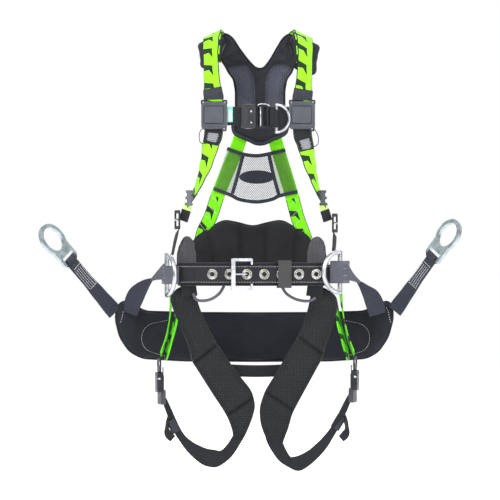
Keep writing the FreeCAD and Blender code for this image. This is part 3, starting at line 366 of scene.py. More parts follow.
def tubes(name, paths, radius, material, sides=6, closed=False):
    """Thin round piping along paths in millimetres, all in one piece."""
    points, faces, uvs = [], [], []
    for path in paths:
        path = np.asarray(path, float)
        if len(path) < 2:
            continue
        if closed:
            along = np.roll(path, -1, axis=0) - np.roll(path, 1, axis=0)
        else:
            along = np.gradient(path, axis=0)
        along /= np.maximum(np.linalg.norm(along, axis=1), 1e-9)[:, None]
        guide = np.array([0.31, 0.22, 0.93]) if abs(along[0][2]) < 0.8 else np.array([0.93, 0.31, 0.22])
        base = len(points)
        travelled = 0.0
        for i, (p, t) in enumerate(zip(path, along)):
            side = np.cross(t, guide)
            side /= np.linalg.norm(side)
            up = np.cross(side, t)
            guide = up
            travelled += np.linalg.norm(p - path[i - 1]) if i else 0.0
            for k in range(sides):
                angle = 2 * math.pi * k / sides
                points.append(p + (side * math.cos(angle) + up * math.sin(angle)) * radius)
                uvs.append((2 * math.pi * radius * k / sides, travelled))
        rows = len(path)
        for i in range(rows if closed else rows - 1):
            for k in range(sides):
                a = base + i * sides + k
                b = base + i * sides + (k + 1) % sides
                c = base + ((i + 1) % rows) * sides + (k + 1) % sides
                e = base + ((i + 1) % rows) * sides + k
                faces.append((a, b, c, e))
        if not closed:
            faces.append([base + k for k in reversed(range(sides))])
            faces.append([base + (rows - 1) * sides + k for k in range(sides)])
    return piece_from(name, points, faces, material, uvs)


def stitches(name, rows, material, length=3.4, gap=1.9, width=0.95, rise=0.55):
    """Rows of thread: each row is a path of points with normals, broken into short raised dashes."""
    points, faces = [], []
    for path, normals in rows:
        path = np.asarray(path, float)
        normals = np.asarray(normals, float)
        gaps = np.linalg.norm(np.diff(path, axis=0), axis=1)
        s = np.concatenate([[0], np.cumsum(gaps)])
        spot = gap / 2
        while spot + length < s[-1]:
            ends = np.stack([np.interp([spot, spot + length / 2, spot + length], s,
                                       path[:, k]) for k in range(3)], -1)
            n = np.array([np.interp(spot + length / 2, s, normals[:, k]) for k in range(3)])
            n /= np.linalg.norm(n)
            t = ends[2] - ends[0]
            t /= max(np.linalg.norm(t), 1e-9)
            side = np.cross(n, t)
            base = len(points)
            for shift, wide, high in ((0, 0.55, 0.1), (1, 1.0, 1.0), (2, 0.55, 0.1)):
                p = ends[shift]
                points += [p - side * width / 2 * wide - n * 0.2,
                           p - side * width / 4 * wide + n * rise * high,
                           p + side * width / 4 * wide + n * rise * high,
                           p + side * width / 2 * wide - n * 0.2]
            for i in (0, 1):
                for k in (0, 1, 2):
                    a = base + i * 4 + k
                    faces.append((a, a + 1, a + 5, a + 4))
            faces += [(base, base + 3, base + 2, base + 1), (base + 8, base + 9, base + 10, base + 11)]
            spot += length + gap
    return piece_from(name, points, faces, material)


def row_on(surface, pairs, lift, step=2.0):
    """Path and normals on a surface through (u, v) pairs."""
    pairs = np.array(pairs, float)
    gaps = np.linalg.norm(np.diff(pairs, axis=0), axis=1)
    s = np.concatenate([[0], np.cumsum(gaps)])
    t = np.linspace(0, s[-1], max(2, int(s[-1] / step)))
    u = np.interp(t, s, pairs[:, 0])
    v = np.interp(t, s, pairs[:, 1])
    path = surface.at(u, v, lift)
    return path, surface.at(u, v, lift + 1.0) - path


def solid_from_rings(name, rings, material, smooth=True, uvs=None):
    """Closed solid through equal rings of points, with flat end caps."""
    rings = [np.asarray(r, float) for r in rings]
    size = len(rings[0])
    points = np.concatenate(rings)
    faces = []
    for i in range(len(rings) - 1):
        for k in range(size):
            a, b = i * size + k, i * size + (k + 1) % size
            faces.append((a, b, b + size, a + size))
    faces.append(tuple(reversed(range(size))))
    faces.append(tuple(range((len(rings) - 1) * size, len(rings) * size)))
    obj = piece_from(name, points, faces, material, uvs, smooth)
    tidy(obj)
    return obj


def round_box(name, centre, size, turn, material, corner=3.0, edge=0.8, outline=None):
    """Moulded block with rounded face corners and softened rims. turn is its yaw in degrees."""
    half_x, half_y, half_z = (s / 2 for s in size)
    if outline is None:
        outline = [(-half_x, -half_z), (half_x, -half_z), (half_x, half_z), (-half_x, half_z)]
    flat = rounded(outline, corner, 5)
    middle = flat.mean(axis=0)
    yaw = math.radians(turn)
    rings = []
    for y, inset in ((-half_y, edge), (-half_y + edge * 0.35, edge * 0.35), (-half_y + edge, 0),
                     (half_y - edge, 0),
                     (half_y - edge * 0.35, edge * 0.35), (half_y, edge)):
        away = flat - middle
        shrink = flat - away / np.maximum(np.linalg.norm(away, axis=1), 1e-6)[:, None] * inset
        x = shrink[:, 0] * math.cos(yaw) - y * math.sin(yaw)
        depth = shrink[:, 0] * math.sin(yaw) + y * math.cos(yaw)
        rings.append(np.stack([centre[0] + x, centre[1] + depth, centre[2] + shrink[:, 1]], axis=-1))
    obj = solid_from_rings(name, rings, material)
    for face in obj.data.polygons:
        face.use_smooth = len(face.vertices) < 5
    return obj

# ---- materials ---------------------------------------------------------------------------------


def linear(rgb):
    """Linear colour of an sRGB triple of 0 to 255."""
    out = []
    for c in rgb:
        c = c / 255
        out.append(c / 12.92 if c <= 0.04045 else ((c + 0.055) / 1.055) ** 2.4)
    return (out[0], out[1], out[2], 1.0)


class Graph:
    """Short way to wire a procedural material."""

    def __init__(self, name, **values):
        self.material = bpy.data.materials.new(name)
        self.material.use_nodes = True
        self.tree = self.material.node_tree
        self.shader = self.tree.nodes["Principled BSDF"]
        for key, value in values.items():
            self.shader.inputs[key.replace("_", " ")].default_value = value
        self.material.diffuse_color = values.get("Base_Color", (0.5, 0.5, 0.5, 1))

    def link(self, value, socket):
        if isinstance(value, (int, float, tuple)):
            socket.default_value = value
        else:
            self.tree.links.new(value, socket)

    def node(self, kind, inputs=(), **settings):
        made = self.tree.nodes.new(kind)
        for key, value in settings.items():
            setattr(made, key, value)
        for key, value in inputs:
            self.link(value, made.inputs[key])
        return made

    def math(self, operation, *values):
        made = self.node("ShaderNodeMath", operation=operation)
        for i, value in enumerate(values):
            self.link(value, made.inputs[i])
        return made.outputs[0]

    def position(self):
        return self.node("ShaderNodeTexCoord").outputs["Object"]

    def uv(self):
        split = self.node("ShaderNodeSeparateXYZ", [(0, self.node("ShaderNodeTexCoord").outputs["UV"])])
        return split.outputs[0], split.outputs[1]

    def noise(self, scale, detail=3.0, where=None, rough=0.55):
        where = self.position() if where is None else where
        return self.node("ShaderNodeTexNoise", [("Vector", where), ("Scale", scale), ("Detail", detail),
                                                ("Roughness", rough)]).outputs["Fac"]

    def mix(self, share, a, b):
        made = self.node("ShaderNodeMix", data_type="RGBA")
        self.link(share, made.inputs["Factor"])
        self.link(a, made.inputs[6])
        self.link(b, made.inputs[7])
        return made.outputs[2]

    def ramp(self, value, low, high, out_low=0.0, out_high=1.0):
        made = self.node("ShaderNodeMapRange", [("Value", value), ("From Min", low), ("From Max", high),
                                                ("To Min", out_low), ("To Max", out_high)])
        return made.outputs[0]

    def bump(self, height, distance, strength=1.0, under=None):
        made = self.node("ShaderNodeBump", [("Height", height), ("Distance", distance), ("Strength",
                                                                                         strength)])
        if under is not None:
            self.link(under, made.inputs["Normal"])
        self.link(made.outputs[0], self.shader.inputs["Normal"])
        return made.outputs[0]

    def finish(self, colour, rough):
        self.link(colour, self.shader.inputs["Base Color"])
        self.link(rough, self.shader.inputs["Roughness"])
        return self.material


def weave_height(g, pitch):
    """Herringbone ribs of woven tape from UVs in metres."""
    u, v = g.uv()
    fold = g.math("PINGPONG", g.math("ADD", u, 1.0), pitch * 3)
    slant = g.math("ADD", v, g.math("MULTIPLY", fold, 0.8))
    ribs = g.math("SINE", g.math("MULTIPLY", slant, 2 * math.pi / pitch))
    warps = g.math("SINE", g.math("MULTIPLY", u, 2 * math.pi / (pitch * 0.9)))
    return g.math("ADD", g.math("MULTIPLY", ribs, 0.5), g.math("MULTIPLY", warps, 0.5))


def webbing(name, rgb, lighter, sheen=0.06, rough=0.72, pitch=0.0016):
    base = linear(rgb)
    g = Graph(name, Base_Color=base, Sheen_Weight=sheen, Sheen_Roughness=0.5, Specular_IOR_Level=0.3)
    height = weave_height(g, pitch)
    wear_and_edge_highlight = g.noise(38.0, 4.0)
    fine = g.noise(900.0, 2.0)
    tone = g.math("ADD", g.math("MULTIPLY", g.ramp(height, -1.0, 1.0), 0.45), g.math("MULTIPLY", wear_and_edge_highlight, 0.55))
    colour = g.mix(g.ramp(tone, 0.25, 0.85), base, linear(lighter))
    g.bump(g.math("ADD", height, g.math("MULTIPLY", fine, 0.8)), 0.00025, 0.8)
    return g.finish(colour, g.ramp(wear_and_edge_highlight, 0.3, 0.7, rough - 0.08, rough + 0.1))


def lime_webbing(name, rgb, shade, phase=0.0, plain_until=-9.0, half=22.5):
    """Bright tape with dark slanted blocks and spikes, dark selvages and a continuous bright band."""
    bright = linear(rgb)
    dark = linear((26, 46, 30))
    g = Graph(name, Base_Color=bright, Sheen_Weight=0.04, Sheen_Roughness=0.5, Specular_IOR_Level=0.2)
    u, v = g.uv()
    run = g.math("MULTIPLY", g.math("ADD", v, phase / 1000), 1000.0)
    across = g.math("MULTIPLY", u, 1000.0 * 22.5 / half)
    period = 45.0
    beat = g.math("SUBTRACT", run, g.math("MULTIPLY", g.math("FLOOR", g.math("DIVIDE", run, period)), period))
    upper = g.math("MULTIPLY", g.math("ADD", across, 22.5), 0.27)
    block = g.math("MULTIPLY", g.math("GREATER_THAN", beat, upper), g.math("LESS_THAN", beat, 17.0))
    block = g.math("MULTIPLY", block, g.math("LESS_THAN", across, 4.5))
    drop = g.math("SUBTRACT", beat, 17.0)
    spike_low = g.math("GREATER_THAN", across, g.math("ADD", g.math("MULTIPLY", drop, 0.75), -6.0))
    spike_high = g.math("LESS_THAN", across, g.math("ADD", g.math("MULTIPLY", drop, 0.12), 4.5))
    spike = g.math("MULTIPLY", g.math("MULTIPLY", spike_low, spike_high),
                   g.math("MULTIPLY", g.math("GREATER_THAN", drop, -0.5), g.math("LESS_THAN", drop, 17.0)))
    mark = g.math("MAXIMUM", block, spike)
    selvage = g.math("GREATER_THAN", g.math("ABSOLUTE", across), 20.4)
    mark = g.math("MAXIMUM", mark, selvage)
    mark = g.math("MULTIPLY", mark, g.math("GREATER_THAN", v, plain_until))
    height = weave_height(g, 0.0016)
    wear_and_edge_highlight = g.noise(45.0, 4.0)
    lime = g.mix(g.ramp(g.math("ADD", g.math("MULTIPLY", g.ramp(height, -1.0, 1.0), 0.35), wear_and_edge_highlight), 0.45, 1.1),
                 linear(shade), bright)
    ink = g.mix(g.ramp(wear_and_edge_highlight, 0.3, 0.7), dark, linear((36, 58, 40)))
    g.bump(g.math("ADD", height, g.noise(900.0, 2.0)), 0.00025, 0.8)
    return g.finish(g.mix(mark, lime, ink), g.ramp(wear_and_edge_highlight, 0.3, 0.7, 0.6, 0.8))


def spacer_mesh(name, rgb, hole_rgb, cell=0.0042, sheen=0.06, facing=False):
    """Knitted spacer mesh: a honeycomb of small dark openings."""
    base = linear(rgb)
    g = Graph(name, Base_Color=base, Sheen_Weight=sheen, Sheen_Roughness=0.4, Specular_IOR_Level=0.25)
    where = g.position()
    if facing:
        split = g.node("ShaderNodeSeparateXYZ", [(0, where)])
        where = g.node("ShaderNodeCombineXYZ", [(0, split.outputs[0]), (1, split.outputs[2])]).outputs[0]
    cells = g.node("ShaderNodeTexVoronoi", [("Vector", where), ("Scale", 1 / cell), ("Randomness", 0.25)],
                   feature="F1", voronoi_dimensions="2D" if facing else "3D")
    hole = g.ramp(cells.outputs["Distance"], 0.15, 0.5)
    wear_and_edge_highlight = g.noise(26.0, 4.0)
    yarn = g.mix(g.ramp(wear_and_edge_highlight, 0.3, 0.7), base, linear(tuple(min(255, c + 14) for c in rgb)))
    g.bump(g.math("ADD", hole, g.math("MULTIPLY", g.noise(1100.0, 2.0), 0.3)), 0.0007, 0.7)
    return g.finish(g.mix(hole, linear(hole_rgb), yarn), g.ramp(wear_and_edge_highlight, 0.3, 0.7, 0.7, 0.9))


def fabric(name, rgb, lighter, pitch=0.0014, sheen=0.06, rough=0.78, mottled=14.0):
    """Coarse woven nylon, from positions so that it needs no UVs."""
    base = linear(rgb)
    g = Graph(name, Base_Color=base, Sheen_Weight=sheen, Sheen_Roughness=0.45, Specular_IOR_Level=0.25)
    split = g.node("ShaderNodeSeparateXYZ", [(0, g.position())])
    run = g.math("ADD", split.outputs[0], g.math("MULTIPLY", split.outputs[1], 0.7))
    ribs = g.math("SINE", g.math("MULTIPLY", run, 2 * math.pi / pitch))
    rows = g.math("SINE", g.math("MULTIPLY", split.outputs[2], 2 * math.pi / pitch))
    height = g.math("MULTIPLY", ribs, rows)
    wear_and_edge_highlight = g.noise(mottled, 5.0)
    rubbed = g.noise(70.0, 4.0)
    tone = g.math("ADD", g.math("MULTIPLY", wear_and_edge_highlight, 0.6), g.math("MULTIPLY", rubbed, 0.4))
    colour = g.mix(g.ramp(tone, 0.35, 0.68), base, linear(lighter))
    wrinkle = g.bump(g.noise(30.0, 3.0), 0.004, 0.35)
    g.bump(g.math("ADD", height, g.math("MULTIPLY", g.noise(900.0, 2.0), 0.8)), 0.0003, 0.8, wrinkle)
    return g.finish(colour, g.ramp(rubbed, 0.3, 0.7, rough - 0.1, rough + 0.1))


def metal(name, rgb, rough, metallic=1.0, brushed=0.15, scratch=0.4):
    base = linear(rgb)
    g = Graph(name, Base_Color=base, Metallic=metallic, Specular_IOR_Level=0.5)
    wear = g.noise(60.0, 5.0)
    fine = g.noise(1400.0, 2.0)
    duller = linear(tuple(int(c * 0.82) for c in rgb))
    colour = g.mix(g.ramp(wear, 0.35, 0.65), duller, base)
    g.bump(g.math("ADD", g.math("MULTIPLY", fine, 0.35), g.math("MULTIPLY", wear, 0.65)), 0.0004, scratch)
    return g.finish(colour, g.ramp(wear, 0.3, 0.7, rough, rough + brushed))


def plastic(name, rgb, rough=0.42, grain=0.5):
    base = linear(rgb)
    g = Graph(name, Base_Color=base, Specular_IOR_Level=0.5)
    pits = g.noise(1600.0, 2.0)
    haze = g.noise(40.0, 4.0)
    # convex edges are painted 60 levels paler than the face: a painted highlight along the rims
    edge = g.node("ShaderNodeNewGeometry").outputs["Pointiness"]
    wear_and_edge_highlight = g.mix(g.ramp(edge, 0.5, 0.62, 0.0, 0.35), base, linear(tuple(min(255, c + 60) for c in rgb)))
    colour = g.mix(g.ramp(haze, 0.35, 0.7, 0.0, 0.25), wear_and_edge_highlight, linear(tuple(min(255, c + 22) for c in rgb)))
    g.bump(pits, 0.00015, grain)
    return g.finish(colour, g.ramp(haze, 0.3, 0.7, rough - 0.06, rough + 0.1))


lime_left = lime_webbing("lime_tape_left", (168, 255, 48), (142, 236, 26))
lime_back = lime_webbing("lime_tape_back", (138, 244, 14), (112, 222, 8), phase=-6.0, plain_until=0.205,
                         half=17.0)
lime_side = lime_webbing("lime_tape_side", (120, 235, 30), (86, 200, 14), phase=12.0)
pale_lime = webbing("pale_lime", (206, 244, 132), (226, 250, 170))
black_tape = webbing("black_tape", (22, 24, 28), (36, 39, 44))
belt_tape = webbing("belt_tape", (24, 24, 29), (40, 40, 46))
slate_tape = webbing("slate_tape", (70, 72, 82), (104, 106, 116))
elastic_tape = webbing("elastic_tape", (42, 43, 50), (60, 61, 70), pitch=0.0024)
arm_tape = webbing("arm_tape", (32, 35, 45), (54, 58, 72))
grey_tape = webbing("grey_tape", (108, 112, 118), (140, 144, 150))
yoke_mesh = spacer_mesh("yoke_spacer_mesh", (66, 68, 80), (28, 29, 36))
dark_mesh = spacer_mesh("dark_spacer_mesh", (38, 39, 46), (16, 16, 20))
leg_mesh = spacer_mesh("leg_spacer_mesh", (31, 33, 36), (16, 17, 19), cell=0.0056, facing=True)
side_mesh = spacer_mesh("side_spacer_mesh", (80, 78, 84), (50, 49, 55))
pad_cloth = fabric("pad_cloth", (30, 30, 33), (44, 44, 48))
seat_cloth = fabric("seat_cloth", (25, 27, 34), (42, 45, 56), mottled=9.0)
binding = fabric("binding", (40, 44, 54), (58, 62, 74), pitch=0.0018)
black_binding = fabric("black_binding", (26, 27, 32), (42, 44, 50), pitch=0.0018)
net_yarn = fabric("net_yarn", (150, 154, 162), (182, 186, 192), pitch=0.001, sheen=0.1)
patch_mesh = spacer_mesh("patch_spacer_mesh", (44, 47, 58), (24, 26, 34), cell=0.005, facing=True)
thread = fabric("thread", (205, 207, 212), (238, 238, 240), pitch=0.0007, sheen=0.1)
steel = metal("polished_steel", (206, 208, 214), 0.2)
zinc = metal("zinc_plate", (186, 198, 204), 0.3, scratch=0.7)
nickel = metal("nickel_plate", (208, 206, 201), 0.16)
black_steel = metal("black_steel", (48, 49, 54), 0.34, metallic=0.6)
charcoal = plastic("charcoal_moulding", (66, 68, 76), 0.3)
dark_moulding = plastic("dark_moulding", (38, 39, 44), 0.32)
# paler copy of the keepers' grey plastic, painted light for the left keeper
lit_keeper_moulding = plastic("lit_keeper_moulding", (84, 85, 96), 0.32)
rubber = plastic("black_rubber", (22, 21, 22), 0.62, 0.9)
teal_print = plastic("teal_print", (96, 190, 170), 0.5)
white_print = plastic("white_print", (232, 238, 232), 0.5)

# ---- yoke and shoulders ------------------------------------------------------------------------

MIDDLE = 8.0


def middle_at(z):
    """X of the yoke's middle line, which leans a little towards its top."""
    return MIDDLE - 5.5 * min(max((z - 40) / 60, 0.0), 1.0)


def both(half):
    """Closed outline from the half on the +X side, about the yoke's middle line."""
    return ([(middle_at(z) + x, z) for x, z in half]
            + [(middle_at(z) - x, z) for x, z in reversed(half[1:-1])])


def yoke_depth(u, v):
    bulge = np.clip((v - 70) / 60, 0, 1)
    return -22.0 - 6.0 * bulge ** 2


yoke_face = Flat(yoke_depth)
yoke_outline = rounded(both([
    (0, 48), (9, 50), (16, 56), (29, 72), (46, 98), (60, 121), (72, 131), (84, 134), (93, 122), (93, 70),
    (84, 54), (77, 38), (65, 23), (60, -6), (60, -52), (65, -88), (69, -100), (64, -113), (46, -122), (28,
                                                                                                       -129),
    (13, -137), (0, -139),
]), 8.0, 4)
yoke = cushion("yoke_base", yoke_face, yoke_outline, 4.0, 6.5, dark_mesh, pitch=4.0, soft=7.0)
place(yoke, "harness", "pad_mesh", ["yoke_back_pad"])


def outline_path(surface, outline, lift=0.0):
    return surface.at(outline[:, 0], outline[:, 1], lift)


yoke_piping = tubes("yoke_piping", [outline_path(yoke_face, yoke_outline, 0.5)], 2.3, black_binding, 8,
                    closed=True)
place(yoke_piping, "harness", "pad_mesh")
for side, sign in (("left", -1.0), ("right", 1.0)):
    lobe = rounded([(MIDDLE + sign * x, z) for x, z in [
        (10, -52), (11, 4), (15, 32), (26, 50), (40, 60), (66, 57), (79, 50), (73, 36), (61, 21), (56, -6),
        (56, -60),
        (60, -90), (40, -78), (20, -60),
    ]], 8.0, 4)
    raised = cushion("yoke_lobe_" + side, Flat(lambda u, v: yoke_depth(u, v) - 3.0), lobe, 5.5, 1.5,
                     yoke_mesh,
                     pitch=3.5, soft=16.0)
    place(raised, "harness", "pad_mesh")
    top = rounded([(middle_at(z) + sign * x, z) for x, z in [
        (22, 55), (33, 72), (49, 97), (63, 118), (74, 127), (84, 130), (91, 120), (91, 74), (84, 62), (62,
                                                                                                       61),
        (42, 62),
    ]], 8.0, 4)
    hump = cushion("yoke_shoulder_" + side, Flat(lambda u, v: yoke_depth(u, v) - 3.0), top, 5.0, 1.5,
                   dark_mesh,
                   pitch=3.5, soft=14.0,
                   shape=lambda u, v, d: -1.6 * np.exp(-((np.abs(u - MIDDLE) * 0.5 + v - 116) / 9) ** 2)
                   + 1.2 * np.exp(-((v - 82) / 8) ** 2))
    place(hump, "harness", "pad_mesh")
shield = rounded(both([
    (0, -60), (18, -62), (38, -80), (58, -93), (62, -104), (54, -111), (32, -119), (12, -128), (0, -131),
]), 8.0, 4)
apron = cushion("yoke_apron", Flat(lambda u, v: yoke_depth(u, v) - 3.0), shield, 4.5, 1.5, dark_mesh,
                pitch=3.5,
                soft=12.0)
place(apron, "harness", "pad_mesh")
skirt = np.array([p for p in yoke_outline if p[1] < -86])
skirt = skirt[np.argsort(skirt[:, 0])]
skirt_path = outline_path(yoke_face, skirt + np.array([0, 4.0]), 5.5)
place(tubes("yoke_skirt_tape", [skirt_path], 3.6, binding, 8), "harness", "pad_mesh")

STRAP_ROUTE = [
    ((38, -7.5, 40), (0, 1, 0)), ((62, -7, 78), (0, 1, 0)), ((86, -10, 106), (0.1, 1, 0.2)),
    ((98, -26, 124), (0.3, 1, 0.8)), ((104, -52, 129), (0.4, 0.4, 0.9)), ((107, -92, 130), (0.45, 0, 0.9)),
    ((109, -130, 124), (0.4, -0.5, 0.85)), ((111, -164, 104), (0.6, -0.95, 0.5)),
    ((111, -186, 68), (0.8, -1, 0.25)), ((109, -198, 20), (0.65, -1, 0.1)), ((106, -207, -20), (0.25, -1, 0)),
    ((104, -209, -34), (0, -1, 0)), ((104, -209, -110), (0, -1, 0)), ((111, -211, -142), (0.5, -1, 0)),
    ((121, -210, -185), (0.9, -0.8, 0)), ((134, -205, -222), (1, -0.4, 0)), ((149, -197, -256), (1, -0.15,
                                                                                                 0)),
    ((168, -187, -287), (1, -0.1, 0.3)),
]
SHOULDER_PAD_ROUTE = [
    ((98, -37, 84), (0.1, 1, 0.1)), ((104, -42, 102), (0.25, 1, 0.5)), ((109, -56, 113), (0.4, 0.5, 0.9)),
    ((112, -92, 116), (0.45, 0, 0.9)), ((113, -126, 110), (0.4, -0.5, 0.85)), ((111, -152, 91), (0.6, -0.95,
                                                                                                 0.5)),
    ((110, -172, 64), (0.8, -1, 0.25)), ((107, -182, 36), (0.7, -1, 0.1)),
]
BACK_STRAP_ROUTE = [
    ((33.5, -7.5, -72), (0, -1, 0)), ((43, -7.5, -130), (0, -1, 0)), ((91, -7.5, -249), (0, -1, 0)),
    ((113, -7.5, -313), (0, -1, 0)), ((132, -9, -355), (-0.1, -1, 0)), ((148, -13, -421), (-0.35, -1, 0)),
]
# The right back strap runs a little closer to the spine below the yoke, station by station.
RIGHT_BACK_SHIFT = [0, 3, -9, -14, -18, -10]
UPPER_SHIFT = [0, 0, 0, 0, 0.4, 0.6, 0.8, 1, 1, 1, 1, 1, 1, 1, 1, 0.5, -0.2, -0.5]


def sided(stations, sign, shift=None, amount=0.0):
    made = []
    for i, (p, n) in enumerate(stations):
        move = amount * shift[i] if shift else 0.0
        made.append(((sign * p[0] + move, p[1], p[2]), (sign * n[0], n[1], n[2])))
    return made


def front_v(run, z):
    """Distance along a run where its front part passes a height."""
    first = int(np.argmax(run.p[:, 2]))
    return float(run.s[first + np.argmin(np.abs(run.p[first:, 2] - z))])


SIDES = (("left", -1.0, 0.0), ("right", 1.0, 5.0))
shoulder_runs = {}
for side, sign, shift in SIDES:
    run = Run(sided(STRAP_ROUTE, sign, UPPER_SHIFT, shift))
    shoulder_runs[side] = run
    pattern_from = front_v(run, 96.0 if side == "left" else 98.0)
    strap("shoulder_webbing_" + side, "harness", run, 45.0, 2.5, lime_left, "lime_webbing",
          ["shoulder_strap_" + side], origin=pattern_from)
    pad_run = Run(sided(SHOULDER_PAD_ROUTE, sign))
    reach = pad_run.length
    short = 14.0 if side == "left" else 0.0
    wide = 33.0 if side == "left" else 43.0
    low_u, high_u = (-wide, 29.0) if sign < 0 else (-27.0, wide)
    shape = rounded([(low_u, 0), (high_u, 0), (high_u, reach - short), (low_u, reach - short)], 18.0, 6)
    pad = cushion("shoulder_cushion_" + side, pad_run, shape, 4.5, 5.0, dark_mesh, pitch=4.0, soft=10.0)
    place(pad, "harness", "pad_mesh", ["shoulder_pad_" + side])
    edge = tubes("shoulder_piping_" + side, [pad_run.at(shape[:, 0], shape[:, 1], 0.0)], 2.0, black_binding,
                 8, True)
    place(edge, "harness", "pad_mesh")
    inner = -sign * 22.6
    seam_v = np.linspace(front_v(run, 126), front_v(run, 50), 40)
    fold = tubes("strap_fold_" + side, [run.at(np.full(40, inner - sign * 1.8), seam_v, -0.6)], 1.5,
                 lime_left, 8)
    place(fold, "harness", "lime_webbing")
    fold_dark = tubes("strap_fold_edge_" + side, [run.at(np.full(40, inner - sign * 4.2), seam_v, -1.6)], 1.5,
                      black_binding, 8)
    place(fold_dark, "harness", "lime_webbing")

    # elastic keeper, sewn sleeve under the housing and its box of stitching
    z0, z1 = (-8.0, -33.0) if side == "left" else (-11.0, -37.0)
    strap("strap_keeper_" + side, "harness", run, 48.5, 5.6, elastic_tape, "lime_webbing",
          start=front_v(run, z0), end=front_v(run, z1), origin=0.0)
    low = -141.0 if side == "left" else -157.0
    strap("strap_sleeve_" + side, "harness", run, 43.0, 5.2, black_tape, "black_webbing",
          start=front_v(run, -103.0), end=front_v(run, low))
    box_top = front_v(run, low + 26)
    box_low = front_v(run, low + 4)
    strap("stitch_patch_" + side, "harness", run, 28.0, 6.0, grey_tape, "black_webbing", start=box_top,
          end=box_low)
    rows = [row_on(run, [(x, box_top + 1), (x, box_low - 1)], 3.1) for x in np.linspace(-13, 13, 9)]
    rows += [row_on(run, [(-13, y), (13, y)], 3.1) for y in np.linspace(box_top + 1, box_low - 1, 5)]
    place(stitches("stitch_box_" + side, rows, thread, 2.6, 1.6, 0.8), "harness", "black_webbing")

    back_shift = RIGHT_BACK_SHIFT if sign > 0 else None
    back = Run(sided(BACK_STRAP_ROUTE, sign, back_shift, 1.0))
    strap("back_webbing_" + side, "harness", back, 34.0, 2.5, lime_back, "lime_webbing",
          ["back_strap_" + side])
    lines = []
    for k in range(4):
        v = back.v_at_z(-276 - 24 * k)
        lines.append(row_on(back, [(-16, v + 11 * sign), (16, v - 5 * sign)], 1.5))
    place(stitches("back_bar_tacks_" + side, lines, thread, 5.0, 0.6, 1.2, 0.5), "harness", "lime_webbing")

    # cord loop beside the sleeve
    if side == "left":
        loop = [(-124, -212, -107), (-131, -214, -105), (-137, -215, -112), (-139, -215, -124), (-137, -214,
                                                                                                 -136),
                (-130, -213, -141), (-122, -212, -139)]
    else:
        loop = [(132, -212, -104), (138, -214, -106), (145, -215, -117), (148, -215, -130), (146, -214, -141),
                (139, -213, -147), (131, -212, -146)]
    smooth = Run([(p, (0, -1, 0)) for p in loop], 1.5).p
    place(tubes("sleeve_loop_" + side, [smooth], 1.0, black_tape, 6), "harness", "black_webbing")

# ---- net panel ---------------------------------------------------------------------------------

panel_face = Flat(lambda u, v: -13.5 + 0 * u)


def clipped(start, direction, outline, step=2.5):
    """The stretches of a straight line that lie inside an outline."""
    t = np.arange(-260, 260, step)
    points = np.array(start) + t[:, None] * np.array(direction)
    inside = edge_distance(points, outline)[1]
    stretches, run = [], []
    for p, keep in zip(points, inside):
        if keep:
            run.append(p)
        elif run:
            stretches.append(run)
            run = []
    return [np.array(s) for s in stretches + [run] if len(s) > 1]


centre_part = np.array([(-34, -162), (0, -166), (30, -162), (54, -262), (0, -277), (-60, -262)], float)
net_lines = []
for way in (1, -1):
    for k in range(-44, 45):
        for stretch in clipped((k * 5.2, -210), (0.64, way * 0.77), centre_part):
            net_lines.append(panel_face.at(stretch[:, 0], stretch[:, 1], 0.35 * way))
net = tubes("back_net", net_lines, 0.72, net_yarn, 4)
place(net, "harness", "net", ["mesh_panel"])
fine_lines = []
for sign in (-1, 1):
    if sign < 0:
        third = np.array([(-34, -161), (-73, -147), (-106, -246), (-60, -261)], float)
    else:
        third = np.array([(30, -161), (70, -151), (100, -252), (54, -263)], float)
    for way in (1, -1):
        for k in range(-60, 61):
            for stretch in clipped((k * 3.4, -208), (0.64, way * 0.77), third):
                fine_lines.append(panel_face.at(stretch[:, 0], stretch[:, 1], 0.9 + 0.2 * way))
fine = tubes("back_net_fine", fine_lines, 0.42, fabric("fine_yarn", (84, 116, 60), (120, 150, 92), 0.001), 4)
place(fine, "harness", "net")
tape_paths = [
    ("panel_top_tape", [(-73, -147), (-38, -160), (-1, -165), (36, -159), (70, -151)]),
    ("panel_low_tape", [(-106, -245), (-65, -261), (-42, -272), (-1, -278), (36, -272), (56, -263), (100,
                                                                                                     -253)]),
    ("panel_seam_tape_left", [(-34, -164), (-47, -213), (-60, -258)]),
    ("panel_seam_tape_right", [(30, -163), (41, -213), (54, -260)]),
]
for name, path in tape_paths:
    run = Run([((x, -13.8, z), (0, -1, 0)) for x, z in path])
    strap(name, "harness", run, 9.0, 3.4, binding, "net")
oval = np.array([(43 * math.cos(a), -217 + 16.5 * math.sin(a)) for a in np.linspace(0, 2 * math.pi, 48,
                                                                                    False)])
lens_patch = cushion("panel_patch", Flat(lambda u, v: -14.6 + 0 * u), oval, 1.6, 1.0, patch_mesh, pitch=3.0,
                     soft=4.0)
place(lens_patch, "harness", "net")

# ---- chest closure -----------------------------------------------------------------------------

